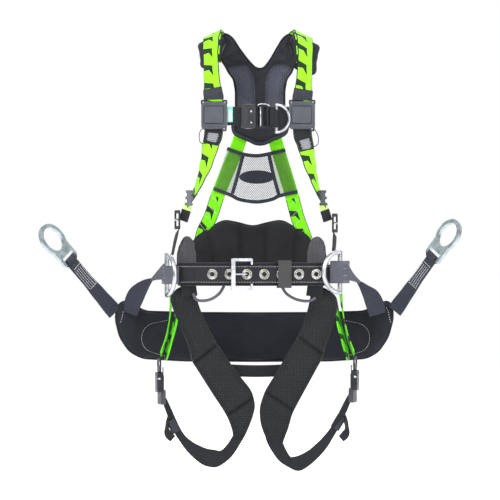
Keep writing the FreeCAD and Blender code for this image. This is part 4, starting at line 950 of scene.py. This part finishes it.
CHEST_Y = -213.0
CHEST_Z = -74.0
HOUSING_X = {"left": -103.0, "right": 108.5}
for side, sign, shift in SIDES:
    x = HOUSING_X[side]
    cover = [(-27, -32), (24, -32), (31, -27), (31, 27), (26, 33), (-24, 33), (-31, 26), (-31, -24)]
    cover = [(sign * -1 * px, pz) for px, pz in cover]
    if sign < 0:
        cover = cover[::-1]
    place(round_box("housing_cover_" + side, (x, -219.2, -72), (62, 4.0, 66), 0, charcoal, 6.0, 1.4, cover),
          "harness", "charcoal_plastic")
    place(round_box("housing_panel_" + side, (x - 1, -222.2, -71), (46, 3.0, 40), 0, charcoal, 4.0, 1.0),
          "harness", "charcoal_plastic")
    place(round_box("housing_ridge_" + side, (x - 1, -221.6, -97), (44, 2.4, 5), 0, charcoal, 2.0, 0.8),
          "harness", "charcoal_plastic")
    # a dark tube laid round the panel stands in for the shade in the recess around it: painted shadow
    groove_shadow = rounded([(x - 24.5, -92.0), (x + 22.5, -92.0), (x + 22.5, -50.0), (x - 24.5, -50.0)], 4.0, 4)
    line = [(px, -221.4, pz) for px, pz in groove_shadow]
    place(tubes("housing_groove_shadow_" + side, [line], 0.9, dark_moulding, 6, True), "harness", "charcoal_plastic")
    for k, (ex, ez) in enumerate(((-26, 31), (26, 31), (24, -33))):
        ear = round_box("housing_ear_%s_%d" % (side, k), (x + ex, -218.6, -72 + ez), (12, 5.0, 12), 0,
                        dark_moulding,
                        3.5, 1.0)
        place(ear, "harness", "charcoal_plastic")
        rivet = tubes("housing_pin_%s_%d" % (side, k),
                      [[(x + ex, -222.0, -72 + ez), (x + ex, -219.0, -72 + ez)]], 1.9, nickel, 12)
        place(rivet, "harness", "charcoal_plastic")


def level(x0, x1, y, z):
    return Run([((x0, y, z), (0, -1, 0)), (((x0 + x1) / 2, y, z), (0, -1, 0)), ((x1, y, z), (0, -1, 0))])


chest_left = level(-71.6, -38.4, CHEST_Y, CHEST_Z)
strap("chest_webbing_left", "harness", chest_left, 45.0, 2.5, black_tape, "black_webbing",
      ["chest_strap_left"])
chest_right = level(1.5, 77.1, CHEST_Y, CHEST_Z)
strap("chest_webbing_right", "harness", chest_right, 45.0, 2.5, black_tape, "black_webbing",
      ["chest_strap_right"])
bar = np.array((46.5, -213.0, -80.0))
bight = []
for a in np.linspace(-0.5 * math.pi, 0.5 * math.pi, 14):
    out = np.array([math.sin(a), -math.cos(a), 0])
    bight.append((tuple(bar + out * 6.2), tuple(out)))
ends = [((56.0, -212.5, -80), (0.5, -1, 0)), ((60.0, -211.2, -80), (0.1, -1, 0))]
start = [((34.0, -212.5, -80), (-0.3, -1, 0))]
strap("chest_bight", "harness", Run(start + bight + ends, 1.5), 43.0, 2.2, black_tape, "black_webbing")
wire = Run([((1, -222, -49.5), (0, -1, 0)), ((5, -223.5, -46.4), (0, -1, 0)), ((15, -224, -45.4), (0, -1, 0)),
            ((25, -223.5, -46.8), (0, -1, 0)), ((30, -222, -50.5), (0, -1, 0))], 1.5).p
place(tubes("adjuster_wire", [wire], 1.5, steel, 10), "chest_insert", "black_steel")
place(tubes("adjuster_post", [[(8.5, -221.6, -51), (8.5, -221.6, -75), (8.5, -221.6, -99)]], 2.0, steel, 12),
      "chest_insert", "black_steel")
strap("chest_fold_left", "harness", level(-57, -39.5, -215.6, -75), 44.0, 2.4, black_tape, "black_webbing")
strap("chest_fold_right", "harness", level(31.0, 44.0, -217.2, -75), 44.0, 2.4, black_tape, "black_webbing",
      crown=-1.0)
tag = round_box("sizing_tag", (-64.5, -215.4, -70), (13, 1.0, 38), 0, teal_print, 1.5, 0.3)
place(tag, "harness", "black_webbing")
tag_face = round_box("sizing_tag_face", (-64.0, -216.1, -73), (7.5, 0.7, 26), 0, white_print, 1.0, 0.2)
place(tag_face, "harness", "black_webbing")


RECEIVER = (-20.5, -217.35, -75.0)
shell = [(-17, -26), (-13, -29), (13, -29), (17.5, -24), (17.5, 24), (13, 29), (-13, 29), (-17, 26)]
place(round_box("buckle_shell", (RECEIVER[0], -227.0, RECEIVER[2]), (35, 4.4, 58), 0, dark_moulding, 4.0,
                1.6, shell),
      "harness", "black_steel")
place(round_box("buckle_bridge", (RECEIVER[0] - 7, -229.6, RECEIVER[2]), (11, 2.6, 44), 0, dark_moulding,
                3.0, 1.0),
      "harness", "black_steel")
for k, (px, pz) in enumerate(((6.5, 12.0), (6.5, -15.0))):
    stud = tubes("buckle_stud_%d" % k, [[(RECEIVER[0] + px, -230.6, RECEIVER[2] + pz),
                                         (RECEIVER[0] + px, -228.6, RECEIVER[2] + pz)]], 2.6, steel, 16)
    place(stud, "harness", "black_steel")

# ---- torso adjusters and lanyard keepers -------------------------------------------------------

ADJUSTER_AT = {"left": (-192.0, -178.0, -323.0), "right": (188.0, -178.0, -331.0)}
for side, sign, shift in SIDES:
    at = ADJUSTER_AT[side]
    foot = 28.0
    end_x, end_z = (-204.0, -408.0) if sign < 0 else (184.0, -401.0)
    lower = Run([
        ((at[0], at[1], at[2] - foot), (sign, -0.2, 0)),
        ((at[0] * 0.5 + end_x * 0.5, at[1] - 8, at[2] - foot - 27), (sign, -0.3, 0)),
        ((end_x, at[1] - 16, end_z), (sign, -0.4, 0)),
    ])
    strap("lower_webbing_" + side, "harness", lower, 40.0, 2.5, black_tape, "black_webbing",
          ["lower_torso_strap_" + side], narrow=lambda v: 1.0 - 0.6 * min(1.0, v / 50))
    top_x = 165.0 if sign < 0 else 158.0
    pale = Run([((sign * (top_x - 1), -189, -282), (sign * 0.5, -1, 0.2)),
                ((sign * (top_x + 8), -187, -309), (sign * 0.5, -1, 0.2))])
    strap("adjuster_tail_" + side, "harness", pale, 24.0, 2.2, pale_lime, "lime_webbing")
    sleeve = Run([((sign * (top_x + 5), -189, -300), (sign * 0.4, -1, 0.2)),
                  ((sign * (top_x + 13), -187, -326), (sign * 0.4, -1, 0.2))])
    strap("adjuster_keeper_" + side, "harness", sleeve, 25.0, 8.0, black_tape, "black_webbing")
    kx = -162.5 if sign < 0 else 158.0
    # the left keeper is painted in the paler moulding as the lit copy and the right in the dark moulding as
    # the shaded copy of the same grey keeper: painted light and painted shade
    shade = lit_keeper_moulding if sign < 0 else dark_moulding
    for k, kz in enumerate((-256, -271, -286)):
        bar = round_box("lanyard_bar_%s_%d" % (side, k), (kx + sign * (k - 1) * 1.5, -234, kz), (18, 9, 7.0),
                        sign * 20,
                        shade, 2.0, 1.2)
        place(bar, "harness", "grey_plastic", ["lanyard_keeper_" + side] if k == 0 else ())
    for k, ky in enumerate((-238, -228)):
        post = round_box("lanyard_post_%s_%d" % (side, k), (kx, ky, -271), (11, 5.0, 34), sign * 20, shade,
                         2.0, 1.2)
        place(post, "harness", "grey_plastic")
    tab = Run([((sign * 150, -199, -262), (0, 0, 1)), ((sign * 155, -212, -266), (0, 0, 1)),
               ((kx, -231, -270), (0, 0, 1))])
    strap("lanyard_tab_" + side, "harness", tab, 16.0, 3.0, black_tape, "black_webbing")

# ---- waist belt --------------------------------------------------------------------------------

BELT_X = -9.0
BELT_Z = -454.0
BELT_RADIUS = 600.0
BELT_FRONT_Y = -250.0


def belt_plan(inset):
    """Plan of the belt line from the back round to the front: flat back, round corners, bowed front."""
    half, corner, radius = 150.0, 60.0, BELT_RADIUS
    lean = math.asin(half / radius)
    front = []
    for a in np.linspace(-lean, lean, 60):
        front.append((BELT_X + (radius - inset) * math.sin(a),
                      BELT_FRONT_Y + radius - (radius - inset) * math.cos(a)))
    edge_y = BELT_FRONT_Y + radius * (1 - math.cos(lean))
    side = []
    centre = (half - corner * math.sin(lean), edge_y + corner * math.cos(lean))
    for a in np.linspace(lean, math.pi / 2, 12)[1:]:
        side.append((centre[0] + (corner - inset) * math.sin(a), centre[1] - (corner - inset) * math.cos(a)))
    low_y = side[-1][1] + 113.0
    side.append((side[-1][0], low_y))
    for a in np.linspace(0, math.pi / 2, 12)[1:]:
        side.append((centre[0] + (corner - inset) * math.cos(a), low_y + (corner - inset) * math.sin(a)))
    right = [(BELT_X + x, y) for x, y in side]
    left = [(BELT_X - x, y) for x, y in reversed(side)]
    back_y = right[-1][1]
    return [(BELT_X - 20, back_y)] + left + front + right + [(BELT_X + 20, back_y)]


def spread(plan, step=4.0):
    plan = np.array(plan, float)
    gaps = np.linalg.norm(np.diff(plan, axis=0), axis=1)
    s = np.concatenate([[0], np.cumsum(gaps)])
    t = np.linspace(0, s[-1], int(s[-1] / step))
    return np.stack([np.interp(t, s, plan[:, 0]), np.interp(t, s, plan[:, 1])], axis=-1)


belt_face = Wrap(spread(belt_plan(0.0)))
pad_face = Wrap(spread(belt_plan(17.5)))


def s_at(face, x, front=True):
    """Distance along a wrapped surface where its front passes an X."""
    rows = face.plan[:, 1] < -150 if front else face.plan[:, 1] > -60
    spots = np.where(rows)[0]
    return float(face.s[spots[np.argmin(np.abs(face.plan[spots, 0] - x))]])


def wrap_run(face, s0, s1, z, lift=0.0, step=6.0):
    s = np.linspace(s0, s1, max(3, int(abs(s1 - s0) / step)))
    base = face.at(s, np.full(len(s), z), lift)
    out = face.at(s, np.full(len(s), z), lift + 1.0) - base
    return Run([(tuple(p), tuple(n)) for p, n in zip(base, out)], 4.0)


whole = wrap_run(belt_face, belt_face.s[2], belt_face.s[-3], BELT_Z, -1.5)
strap("belt_webbing", "harness", whole, 45.0, 3.0, belt_tape, "black_webbing", ["belt"])
rows = []
for z in (BELT_Z + 18.0, BELT_Z - 19.0):
    s = np.linspace(belt_face.s[2], belt_face.s[-3], 500)
    path = belt_face.at(s, np.full(500, z), 0.1)
    rows.append((path, belt_face.at(s, np.full(500, z), 1.1) - path))
place(stitches("belt_stitching", rows, thread, 4.2, 2.4, 1.1, 0.6), "harness", "black_webbing")
flap_low, flap_high = s_at(belt_face, -150), s_at(belt_face, -8)
strap("belt_end_layer", "harness", wrap_run(belt_face, flap_low, flap_high, BELT_Z, 0.7), 34.0, 1.6,
      belt_tape,
      "black_webbing")
behind = wrap_run(pad_face, pad_face.s[2], pad_face.s[-3], BELT_Z)
backing = strap("belt_backing", "harness", behind, 54.0, 6.0, pad_cloth, "pad_fabric", ["belt_pad"],
                crown=0.8)
edge_lines = []
for z in (BELT_Z + 26.0, BELT_Z - 26.0):
    s = np.linspace(pad_face.s[2], pad_face.s[-3], 400)
    edge_lines.append(pad_face.at(s, np.full(400, z), 2.6))
place(tubes("belt_backing_binding", edge_lines, 2.2, elastic_tape, 8), "harness", "pad_fabric")

# grommet barrels turned over at the face
beads = []
for k in range(7):
    x = -107.0 + 41.5 * k
    lean = math.asin((x - BELT_X) / BELT_RADIUS)
    y = BELT_FRONT_Y + BELT_RADIUS * (1 - math.cos(lean))
    out = np.array([math.sin(lean), -math.cos(lean), 0])
    side_way = np.array([math.cos(lean), math.sin(lean), 0])
    hub = np.array([x, y, BELT_Z]) + out * 1.6
    for radius, lift in ((11.4, 0.0), (6.9, 0.5)):
        beads.append([hub + out * lift + side_way * radius * math.cos(a) + np.array([0, 0,
                                                                                     radius * math.sin(a)])
                      for a in np.linspace(0, 2 * math.pi, 33)])
place(tubes("grommet_beads", beads, 1.15, nickel, 8), "harness", "nickel")

# ---- waist pad ---------------------------------------------------------------------------------


class Shell:
    """Curved pad surface behind the hips: u is X over the shoulders' width and v is Z."""

    def at(self, u, v, lift=0.0):
        u, v, lift = np.broadcast_arrays(np.asarray(u, float), np.asarray(v, float), lift)
        return Flat(lumbar_depth).at(u, v, lift)


def lumbar_depth(u, v):
    x = np.abs(u - BELT_X)
    flat_y = -4.5
    turn = np.clip((x - 104.0) / 62.0, 0, 1)
    return flat_y - 2.0 - 148.0 * (1 - np.sqrt(np.clip(1 - turn ** 2.4 * 0.985, 0, 1)))


waist = rounded([
    (-158, -480), (-158, -400), (-156, -370), (-120, -345), (-82, -322), (-45, -329), (-10, -339), (25, -329),
    (62, -322), (100, -345), (132, -367), (140, -400), (140, -480),
], 16.0, 6)


def channels(u, v, d):
    cut = 0.0
    for x in (-120.0, -42.0, 22.0, 100.0):
        bend = x + (x - BELT_X) * 0.0008 * (v + 322)
        cut = cut - 6.5 * np.exp(-((u - bend) / 4.5) ** 2)
    for x, wide in ((-81.0, 30.0), (61.0, 30.0), (-10.0, 26.0)):
        cut = cut + 3.0 * np.exp(-((u - x) / wide) ** 2)
    return cut


lumbar = cushion("waist_cushion", Shell(), waist, 9.0, 4.0, pad_cloth, pitch=3.5, soft=16.0, shape=channels)
place(lumbar, "harness", "pad_fabric", ["waist_pad"])
ridge = Shell().at(waist[:, 0], waist[:, 1], 0.4)
place(tubes("waist_piping", [ridge], 2.0, black_binding, 8, closed=True), "harness", "pad_fabric")
for side, sign in (("left", -1.0), ("right", 1.0)):
    if sign < 0:
        shape = [(-193, -480), (-194, -425), (-191, -392), (-178, -364), (-165, -361), (-152, -376), (-148,
                                                                                                      -420),
                 (-149, -480)]
    else:
        shape = [(124, -480), (122, -425), (125, -385), (136, -365), (150, -362), (163, -376), (169, -420),
                 (170, -480)]
    shape = rounded(shape, 12.0, 6)
    middle_x = shape[:, 0].mean()
    wing = cushion("waist_wing_" + side,
                   Flat(lambda u, v, m=middle_x, s=sign: -150.0 + s * (u - m) * -1.3), shape, 6.0, 5.0,
                   side_mesh,
                   pitch=3.5, soft=10.0)
    place(wing, "harness", "pad_fabric")

# ---- tool loops, keeper, hip tabs --------------------------------------------------------------

TOOL_LOOP = {
    "left": [(-79, -482), (-90, -500), (-108, -513), (-128, -518), (-146, -515), (-153, -500)],
    "right": [(59, -482), (70, -500), (88, -512), (108, -518), (128, -518), (141, -510)],
}
for side, path in TOOL_LOOP.items():
    smooth = Run([((x, -211.0, z), (0, -1, 0)) for x, z in path], 2.5).p
    place(tubes("tool_loop_tube_" + side, [smooth], 3.5, plastic("tool_loop_vinyl_" + side, (74, 70, 84),
                                                                 0.4), 12),
          "harness", "black_webbing", ["tool_loop_" + side])

TAB = {"left": ((-188.0, -226.0), (-228.0, -192.0)), "right": ((176.0, -222.0), (222.0, -192.0))}
HIP_BAR = {"left": (-216.5, -215.0, -456.0), "right": (199.5, -215.0, -449.0)}
for side, sign in (("left", -1.0), ("right", 1.0)):
    bar = np.array(HIP_BAR[side])
    (ax, ay), (bx, by) = TAB[side]
    a = np.array([ax, ay, bar[2]])
    b = np.array([bx, by, bar[2]])

    def facing(p, q):
        run = q - p
        n = np.array([run[1], -run[0], 0.0])
        return n / np.linalg.norm(n) * (1 if n[1] < 0 else -1)

    first, last = (a, b) if sign > 0 else (b, a)
    n1 = facing(first, bar)
    n2 = facing(bar, last)
    mid_out = (n1 + n2) / np.linalg.norm(n1 + n2)
    path = [(first, n1), (first * 0.4 + bar * 0.6 + n1 * 1.5, n1), (bar + mid_out * 7.2, mid_out),
            (last * 0.4 + bar * 0.6 + n2 * 1.5, n2), (last, n2)]
    run = Run([(tuple(p), tuple(n)) for p, n in path], 2.0)
    if sign < 0:
        spur_a = [(-214, -208, -423), (-226, -200, -430), (-240, -192, -446), (-254, -186, -463)]
        spur_b = [(-214, -208, -466), (-226, -200, -467), (-240, -192, -468), (-255, -186, -471)]
    else:
        spur_a = [(214, -200, -424), (224, -196, -438), (235, -191, -455), (249, -186, -470)]
        spur_b = [(212, -200, -466), (222, -196, -469), (234, -191, -472), (248, -186, -478)]
    band("hip_spur_" + side, "harness", spur_a, spur_b, 2.4, slate_tape, "black_webbing")
    tab_width = 44.0 if sign < 0 else 54.0
    strap("hip_tab_webbing_" + side, "harness", run, tab_width, 3.4, slate_tape, "black_webbing",
          ["hip_tab_" + side])
    under = [(first - n1 * 1.0, n1), (bar - mid_out * 6.5, mid_out), (last - n2 * 1.0, n2)]
    strap("hip_tab_under_" + side, "harness", Run([(tuple(p), tuple(n)) for p, n in under], 2.0), 44.0, 2.6,
          slate_tape, "black_webbing")
    rows = []
    near, far = (run.length * 0.52, run.length - 3.0) if sign > 0 else (3.0, run.length * 0.48)
    for u in (-0.41 * tab_width, -0.16 * tab_width, 0.16 * tab_width, 0.41 * tab_width):
        rows.append(row_on(run, [(u, near), (u, far)], 1.9))
    edge = far if sign > 0 else near
    rows.append(row_on(run, [(-0.41 * tab_width, edge), (0.41 * tab_width, edge)], 1.9))
    place(stitches("hip_tab_stitching_" + side, rows, thread, 3.0, 1.3, 1.0, 0.5), "harness", "black_webbing")

# ---- suspended seat ----------------------------------------------------------------------------


def seat_depth(u, v):
    return 7.0 - (541.0 - np.sqrt(np.clip(541.0 ** 2 - u ** 2, 1, None)))


seat_face = Flat(seat_depth)
seat_outline = rounded([
    (-344, -562), (-339, -532), (-324, -519), (-302, -529), (-272, -546), (-150, -550), (0, -551), (150,
                                                                                                    -550),
    (262, -546), (292, -530), (316, -519), (329, -531), (331, -562), (319, -608), (296, -643), (268, -660),
    (180, -667), (0, -669), (-180, -667), (-279, -660), (-310, -643), (-333, -608),
], 14.0, 5)


def seat_swell(u, v, d):
    middle = 1.5 * np.sin(u * 0.028 + 0.6) * np.cos((v + 600) * 0.05) + 0.9 * np.sin(u * 0.071 - v * 0.06)
    diagonal = -1.6 * np.exp(-((u * 0.62 + (v + 612)) / 6.0) ** 2) * (np.abs(u) < 60)
    crest = 3.5 * np.exp(-((np.abs(u + 7) - 318) / 20.0) ** 2)
    ends = crest - 3.2 * np.exp(-((np.abs(u + 7) - 286) / 9.0) ** 2)
    return middle + diagonal + ends


seat = cushion("seat_cushion", seat_face, seat_outline, 9.0, 7.5, seat_cloth, pitch=4.5, soft=15.0,
               shape=seat_swell)
place(seat, "seat", "seat_fabric", ["seat_pad"])
rim = seat_face.at(seat_outline[:, 0], seat_outline[:, 1], 0.0)
place(tubes("seat_binding", [rim], 2.4, black_binding, 8, closed=True), "seat", "seat_fabric")
rows = []
for sign in (-1, 1):
    shift = -10 if sign < 0 else 4
    lap = [(sign * x + shift, z) for x, z in [
        (206, -566), (228, -571), (252, -575), (264, -582), (273, -594), (277, -612), (272, -630), (262,
                                                                                                    -641),
        (244, -648), (218, -655)]]
    lap = rounded(lap, 6.0, 3, closed=False)
    rows.append(row_on(seat_face, lap, 9.9))
    end = [(sign * 317 + shift * 1.0, -534), (sign * 323 + shift, -546), (sign * 325 + shift, -558),
           (sign * 329 + shift, -572)]
    rows.append(row_on(seat_face, end, 13.0))
place(stitches("seat_stitching", rows, thread, 3.6, 2.4, 0.95, 1.0), "seat", "seat_fabric")

SEAT_STRAP_EDGES = {
    "left": (
        [(-250, -184, -464), (-262, -176, -465), (-276, -168, -469), (-293, -155, -478), (-309, -142, -492),
         (-320, -128, -515), (-324, -118, -545)],
        [(-251, -188, -468), (-256, -184, -477), (-261, -176, -488), (-268, -165, -503), (-275, -150, -519),
         (-283, -136, -536), (-290, -124, -556)]),
    "right": (
        [(243, -184, -469), (256, -176, -474), (268, -168, -481), (285, -155, -490), (297, -142, -502),
         (307, -128, -522), (312, -118, -546)],
        [(242, -188, -476), (247, -184, -486), (251, -176, -497), (256, -165, -509), (261, -150, -524),
         (267, -136, -541), (273, -124, -558)]),
}
ARM_FOOT = {"left": (-354.0, -120.0, -536.0), "right": (343.0, -120.0, -531.0)}
RING_EYE = {"left": (-494.0, -150.0, -371.0), "right": (463.0, -150.0, -360.0)}
for side, sign in (("left", -1.0), ("right", 1.0)):
    outer, inner = SEAT_STRAP_EDGES[side]
    band("seat_webbing_" + side, "seat", outer, inner, 2.6, arm_tape, "black_webbing", ["seat_strap_" + side])
    eye = np.array(RING_EYE[side])
    root = np.array(ARM_FOOT[side])
    along = (eye - root) / np.linalg.norm(eye - root)
    fold_axis = np.cross(along, (-sign * 0.62, -0.78, 0))
    fold_face = np.cross(fold_axis / np.linalg.norm(fold_axis), along)
    across = np.cross(along, (-sign * 1.5, -0.78, 0))
    across /= np.linalg.norm(across)
    face = np.cross(across, along)
    bar = eye - along * 66.0
    stations = []
    for share in (0.0, 0.3, 0.6, 0.85, 1.0):
        turned = min(1.0, share / 0.6)
        stations.append((tuple(root + (bar - root) * share), tuple(fold_face * (1 - turned) + face * turned)))
    run = Run(stations, 3.0)
    strap("arm_webbing_" + side, "arm_" + side, run, 43.0, 5.0, arm_tape, "black_webbing",
          ["seat_arm_" + side], end=run.length - 4)
    stub = Run([(tuple(root - along * 16.0), tuple(fold_face)), (tuple(root + along * 1.0),
                                                                 tuple(fold_face))])
    strap("arm_root_" + side, "seat", stub, 43.0, 5.0, arm_tape, "black_webbing")
    wrap = []
    for a in np.linspace(-0.35 * math.pi, 1.35 * math.pi, 24):
        spot = bar + (along * math.sin(a) + face * math.cos(a)) * 7.4
        wrap.append((tuple(spot), tuple(along * math.sin(a) + face * math.cos(a))))
    strap("arm_bight_" + side, "arm_" + side, Run(wrap, 1.5), 42.5, 2.4, arm_tape, "black_webbing")
    block_end = run.length - 22
    block_start = block_end - 62
    rows = [row_on(run, [(-19, block_end), (19, block_end)], 2.8),
            row_on(run, [(-19, block_start), (19, block_start)],
                                                                        2.8)]
    for k, u in enumerate(np.linspace(-16, 16, 5)):
        rows.append(row_on(run, [(u, block_start + 2), (u + 1.5, (block_start + block_end) / 2),
                                 (u, block_end - 2)],
                           2.8))
    place(stitches("arm_stitching_" + side, rows, thread, 3.6, 0.7, 1.6, 0.7), "arm_" + side, "black_webbing")

# ---- leg loops ---------------------------------------------------------------------------------


LEG_TILT = -math.tan(math.radians(16.0))


def leg_y(z):
    return -196.0 + (z + 480.0) * LEG_TILT


LEG = {
    "left": [(-190, -484), (-212, -511), (-197, -556), (-165, -629), (-159, -664), (-131, -708), (-103, -753),
             (-88, -775), (-73, -800), (-63, -825), (-58, -846), (-60, -866), (-42, -870), (-28, -848),
             (-12, -809),
             (-3, -775), (-12, -738), (-36, -708), (-68, -665), (-106, -607), (-135, -545), (-146, -511),
             (-156, -484)],
    "right": [(160, -484), (132, -484), (128, -514), (120, -550), (98, -607), (66, -660), (38, -708), (19,
                                                                                                       -738),
              (6, -778), (7, -809), (13, -834), (24, -860), (44, -880), (60, -880), (66, -858), (77, -830),
              (86, -794), (107, -754), (132, -708), (160, -655), (165, -630), (180, -590), (194, -545),
              (194, -508)],
}
LEG_CREASE = {
    "left": [((-96, -623), (-146, -663)), ((-8, -752), (-76, -799))],
    "right": [((102, -605), (164, -651)), ((21, -739), (90, -785))],
}


def crease(u, v, ends):
    """Fold pressed along a short line, with the pad puffed up on both sides of it."""
    (x0, z0), (x1, z1) = ends
    length = math.hypot(x1 - x0, z1 - z0)
    way = ((x1 - x0) / length, (z1 - z0) / length)
    along = ((u - x0) * way[0] + (v - z0) * way[1]) / length
    off = (v - z0) * way[0] - (u - x0) * way[1]
    held = np.clip(2.4 - 2.4 * np.abs(along - 0.5), 0, 1)
    return held * (3.0 * np.exp(-((off - 12) / 9) ** 2) + 2.4 * np.exp(-((off + 12) / 9) ** 2)
                   - 8.0 * np.exp(-(off / 3.6) ** 2))


for side, sign in (("left", -1.0), ("right", 1.0)):
    outline = rounded(LEG[side], 14.0, 5)

    def leg_shape(u, v, d, folds=LEG_CREASE[side]):
        return sum(crease(u, v, ends) for ends in folds) - 3.2 * np.exp(-((d - 9.0) / 2.4) ** 2)

    leg = cushion("leg_cushion_" + side, Flat(lambda u, v: leg_y(v) + 7.5), outline, 9.0, 5.5,
                  leg_mesh, pitch=3.5, soft=13.0, shape=leg_shape)
    place(leg, "harness", "pad_mesh", ["leg_pad_" + side])
    neck_x = -168.0 if sign < 0 else 143.0
    neck = Run([((neck_x, -196, -455), (0, -1, 0)), ((neck_x - sign * 2, -200, -478), (0, -1, 0)),
                ((neck_x + sign * -6, -196, -508), (0, -1, 0))])
    strap("leg_neck_" + side, "harness", neck, 38.0, 4.0, black_tape, "pad_mesh", crown=1.2)


LEG_WEB_EDGES = {
    "left": (
        [(-18, -78, -822), (-34, -84, -856), (-61, -98, -898), (-91, -106, -921), (-108, -110, -924),
         (-134, -116, -916), (-165, -127, -889), (-186, -138, -861), (-203, -147, -832), (-226, -162, -770),
         (-234, -170, -744)],
        [(-48, -78, -812), (-60, -84, -850), (-85, -98, -882), (-104, -104, -881), (-122, -110, -878),
         (-140, -118, -870), (-156, -127, -861), (-174, -138, -845), (-188, -147, -822), (-214, -162, -764),
         (-224, -172, -744)]),
    "right": (
        [(16, -78, -836), (27, -84, -870), (52, -98, -907), (77, -106, -924), (95, -110, -932), (111, -114,
                                                                                                 -930),
         (138, -122, -910), (166, -132, -880), (187, -142, -846), (206, -152, -812), (226, -164, -764),
         (234, -170, -740)],
        [(50, -78, -822), (62, -84, -862), (80, -98, -897), (90, -104, -898), (101, -110, -895), (115, -116,
                                                                                                  -888),
         (129, -122, -879), (143, -130, -866), (157, -138, -852), (181, -148, -821), (212, -164, -760),
         (223, -172, -740)]),
}
LEG_KEEPER = {"left": ((-209, -152, -807), (-194, -145, -836)), "right": ((205, -150, -799), (188, -144,
                                                                                              -828))}
THIGH_STRAP_ROUTE = {
    "left": [((-209, -142, -492), (-1, -0.2, 0)), ((-209, -142, -540), (-1, -0.1, 0)),
             ((-217, -158, -600), (-1, 0, 0)), ((-232, -174, -648), (-1, 0, 0))],
    "right": [((202, -142, -488), (1, -0.2, 0)), ((207, -142, -540), (1, -0.1, 0)),
              ((218, -158, -600), (1, 0, 0)), ((234, -174, -646), (1, 0, 0))],
}
LEG_BUCKLE = {"left": (-236.0, -172.0, -715.0), "right": (237.0, -172.0, -710.0)}
for side, sign in (("left", -1.0), ("right", 1.0)):
    low, high = LEG_WEB_EDGES[side]
    band("leg_webbing_strip_" + side, "harness", low, high, 2.6, black_tape, "black_webbing",
         ["leg_webbing_" + side])
    held = Run([(p, (-sign * 0.3, -1, 0)) for p in LEG_KEEPER[side]])
    strap("leg_keeper_" + side, "harness", held, 24.0, 9.0, elastic_tape, "black_webbing")
    tail = Run([((sign * 212, -150, -800), (-sign, -0.2, 0)), ((sign * 217, -158, -822), (-sign, -0.3, 0)),
                ((sign * 213, -164, -842), (-sign * 0.4, -1, 0)), ((sign * 203, -162, -852), (0, -1, 0))],
                2.0)
    strap("leg_tail_" + side, "harness", tail, 30.0, 2.2, black_tape, "black_webbing",
          narrow=lambda v: 1.0 - 0.4 * min(1.0, v / 60))
    thigh = Run(THIGH_STRAP_ROUTE[side])
    strap("thigh_webbing_" + side, "harness", thigh, 38.0, 2.5, lime_side, "lime_webbing",
          ["thigh_strap_" + side])
    x, y, z = LEG_BUCKLE[side]
    inner = Run([((sign * 190, -150, -520), (sign, -0.4, 0)), ((sign * 199, -158, -575), (sign, -0.45, 0)),
                 ((sign * 212, -167, -625), (sign, -0.4, 0)), ((sign * 220, -171, -662), (sign, -0.2, 0))])
    strap("thigh_inner_" + side, "harness", inner, 32.0, 2.4, lime_side, "lime_webbing",
          narrow=lambda v: 0.75 + 0.25 * min(1.0, v / 80))
    turn = sign * 82.0
    shell_at = (x - sign * 1.0, y - 3, z - 2)
    place(round_box("leg_socket_cover_" + side, shell_at, (44, 17, 40), turn, dark_moulding, 5.0, 2.0),
          "harness",
          "black_steel")
    place(round_box("leg_socket_foot_" + side, (x + sign * -6, y - 6, z - 36), (34, 12, 36), turn - sign * 10,
                    dark_moulding, 5.0, 2.0), "harness", "black_steel")
    place(round_box("leg_plate_glint_" + side, (x - sign * 9.5, y - 14, z + 18), (12, 2.2, 38), turn, steel,
                    3.0, 0.7),
          "harness", "black_steel")
    pin = [[(x + sign * 3, y - 24, z + 9), (x - sign * 4, y - 26, z + 9)]]
    place(tubes("leg_socket_pin_" + side, pin, 3.0, steel, 12), "harness", "black_steel")

under = Run([((-138, -130, -680), (0, -1, 0)), ((-112, -112, -683), (0, -1, 0)),
             ((-60, -88, -689), (0, -1, 0)), ((0, -80, -691), (0, -1, 0)),
             ((60, -88, -689), (0, -1, 0)), ((98, -108, -684), (0, -1, 0)),
             ((124, -130, -680), (0, -1, 0))])
strap("subpelvic_webbing", "harness", under, 29.0, 3.0, black_tape, "black_webbing", ["subpelvic_strap"])

# ---- finish of the frame's own metal and moulded parts -----------------------------------------

FINISH = {
    "dorsal_d_ring": zinc, "dorsal_plate": charcoal, "slider_housing_left": charcoal,
    "slider_housing_right": charcoal, "chest_buckle_receiver": black_steel,
    "chest_buckle_insert": black_steel,
    "chest_release_tab_upper": steel, "chest_release_tab_lower": steel, "chest_d_ring": steel,
    "torso_adjuster_left": black_steel, "torso_adjuster_right": black_steel, "torso_bar_left": steel,
    "torso_bar_right": steel, "belt_buckle_frame": steel, "belt_tongue": steel, "belt_grommets": nickel,
    "belt_keeper": rubber, "hip_d_ring_left": steel, "hip_d_ring_right": steel, "seat_ring_left": zinc,
    "seat_ring_right": zinc, "leg_buckle_receiver_left": black_steel,
    "leg_buckle_receiver_right": black_steel,
    "leg_buckle_insert_left": black_steel, "leg_buckle_insert_right": black_steel,
}
for node, finish in FINISH.items():
    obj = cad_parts[node]
    if not obj.material_slots:
        obj.data.materials.append(finish)
    for entry in obj.material_slots:
        entry.material = finish

# ---- floor -------------------------------------------------------------------------------------

floor_z = -0.9348
pale = plastic("pale_floor", (244, 244, 244), 0.8)
glow = pale.node_tree.nodes["Principled BSDF"]
glow.inputs["Emission Color"].default_value = (1.0, 1.0, 1.0, 1.0)
glow.inputs["Emission Strength"].default_value = 0.35
floor = piece_from("floor", [(-9000, -9000, floor_z / MM), (9000, -9000, floor_z / MM),
                             (9000, 9000, floor_z / MM), (-9000, 9000, floor_z / MM)], [(0, 1, 2, 3)],
                   pale)
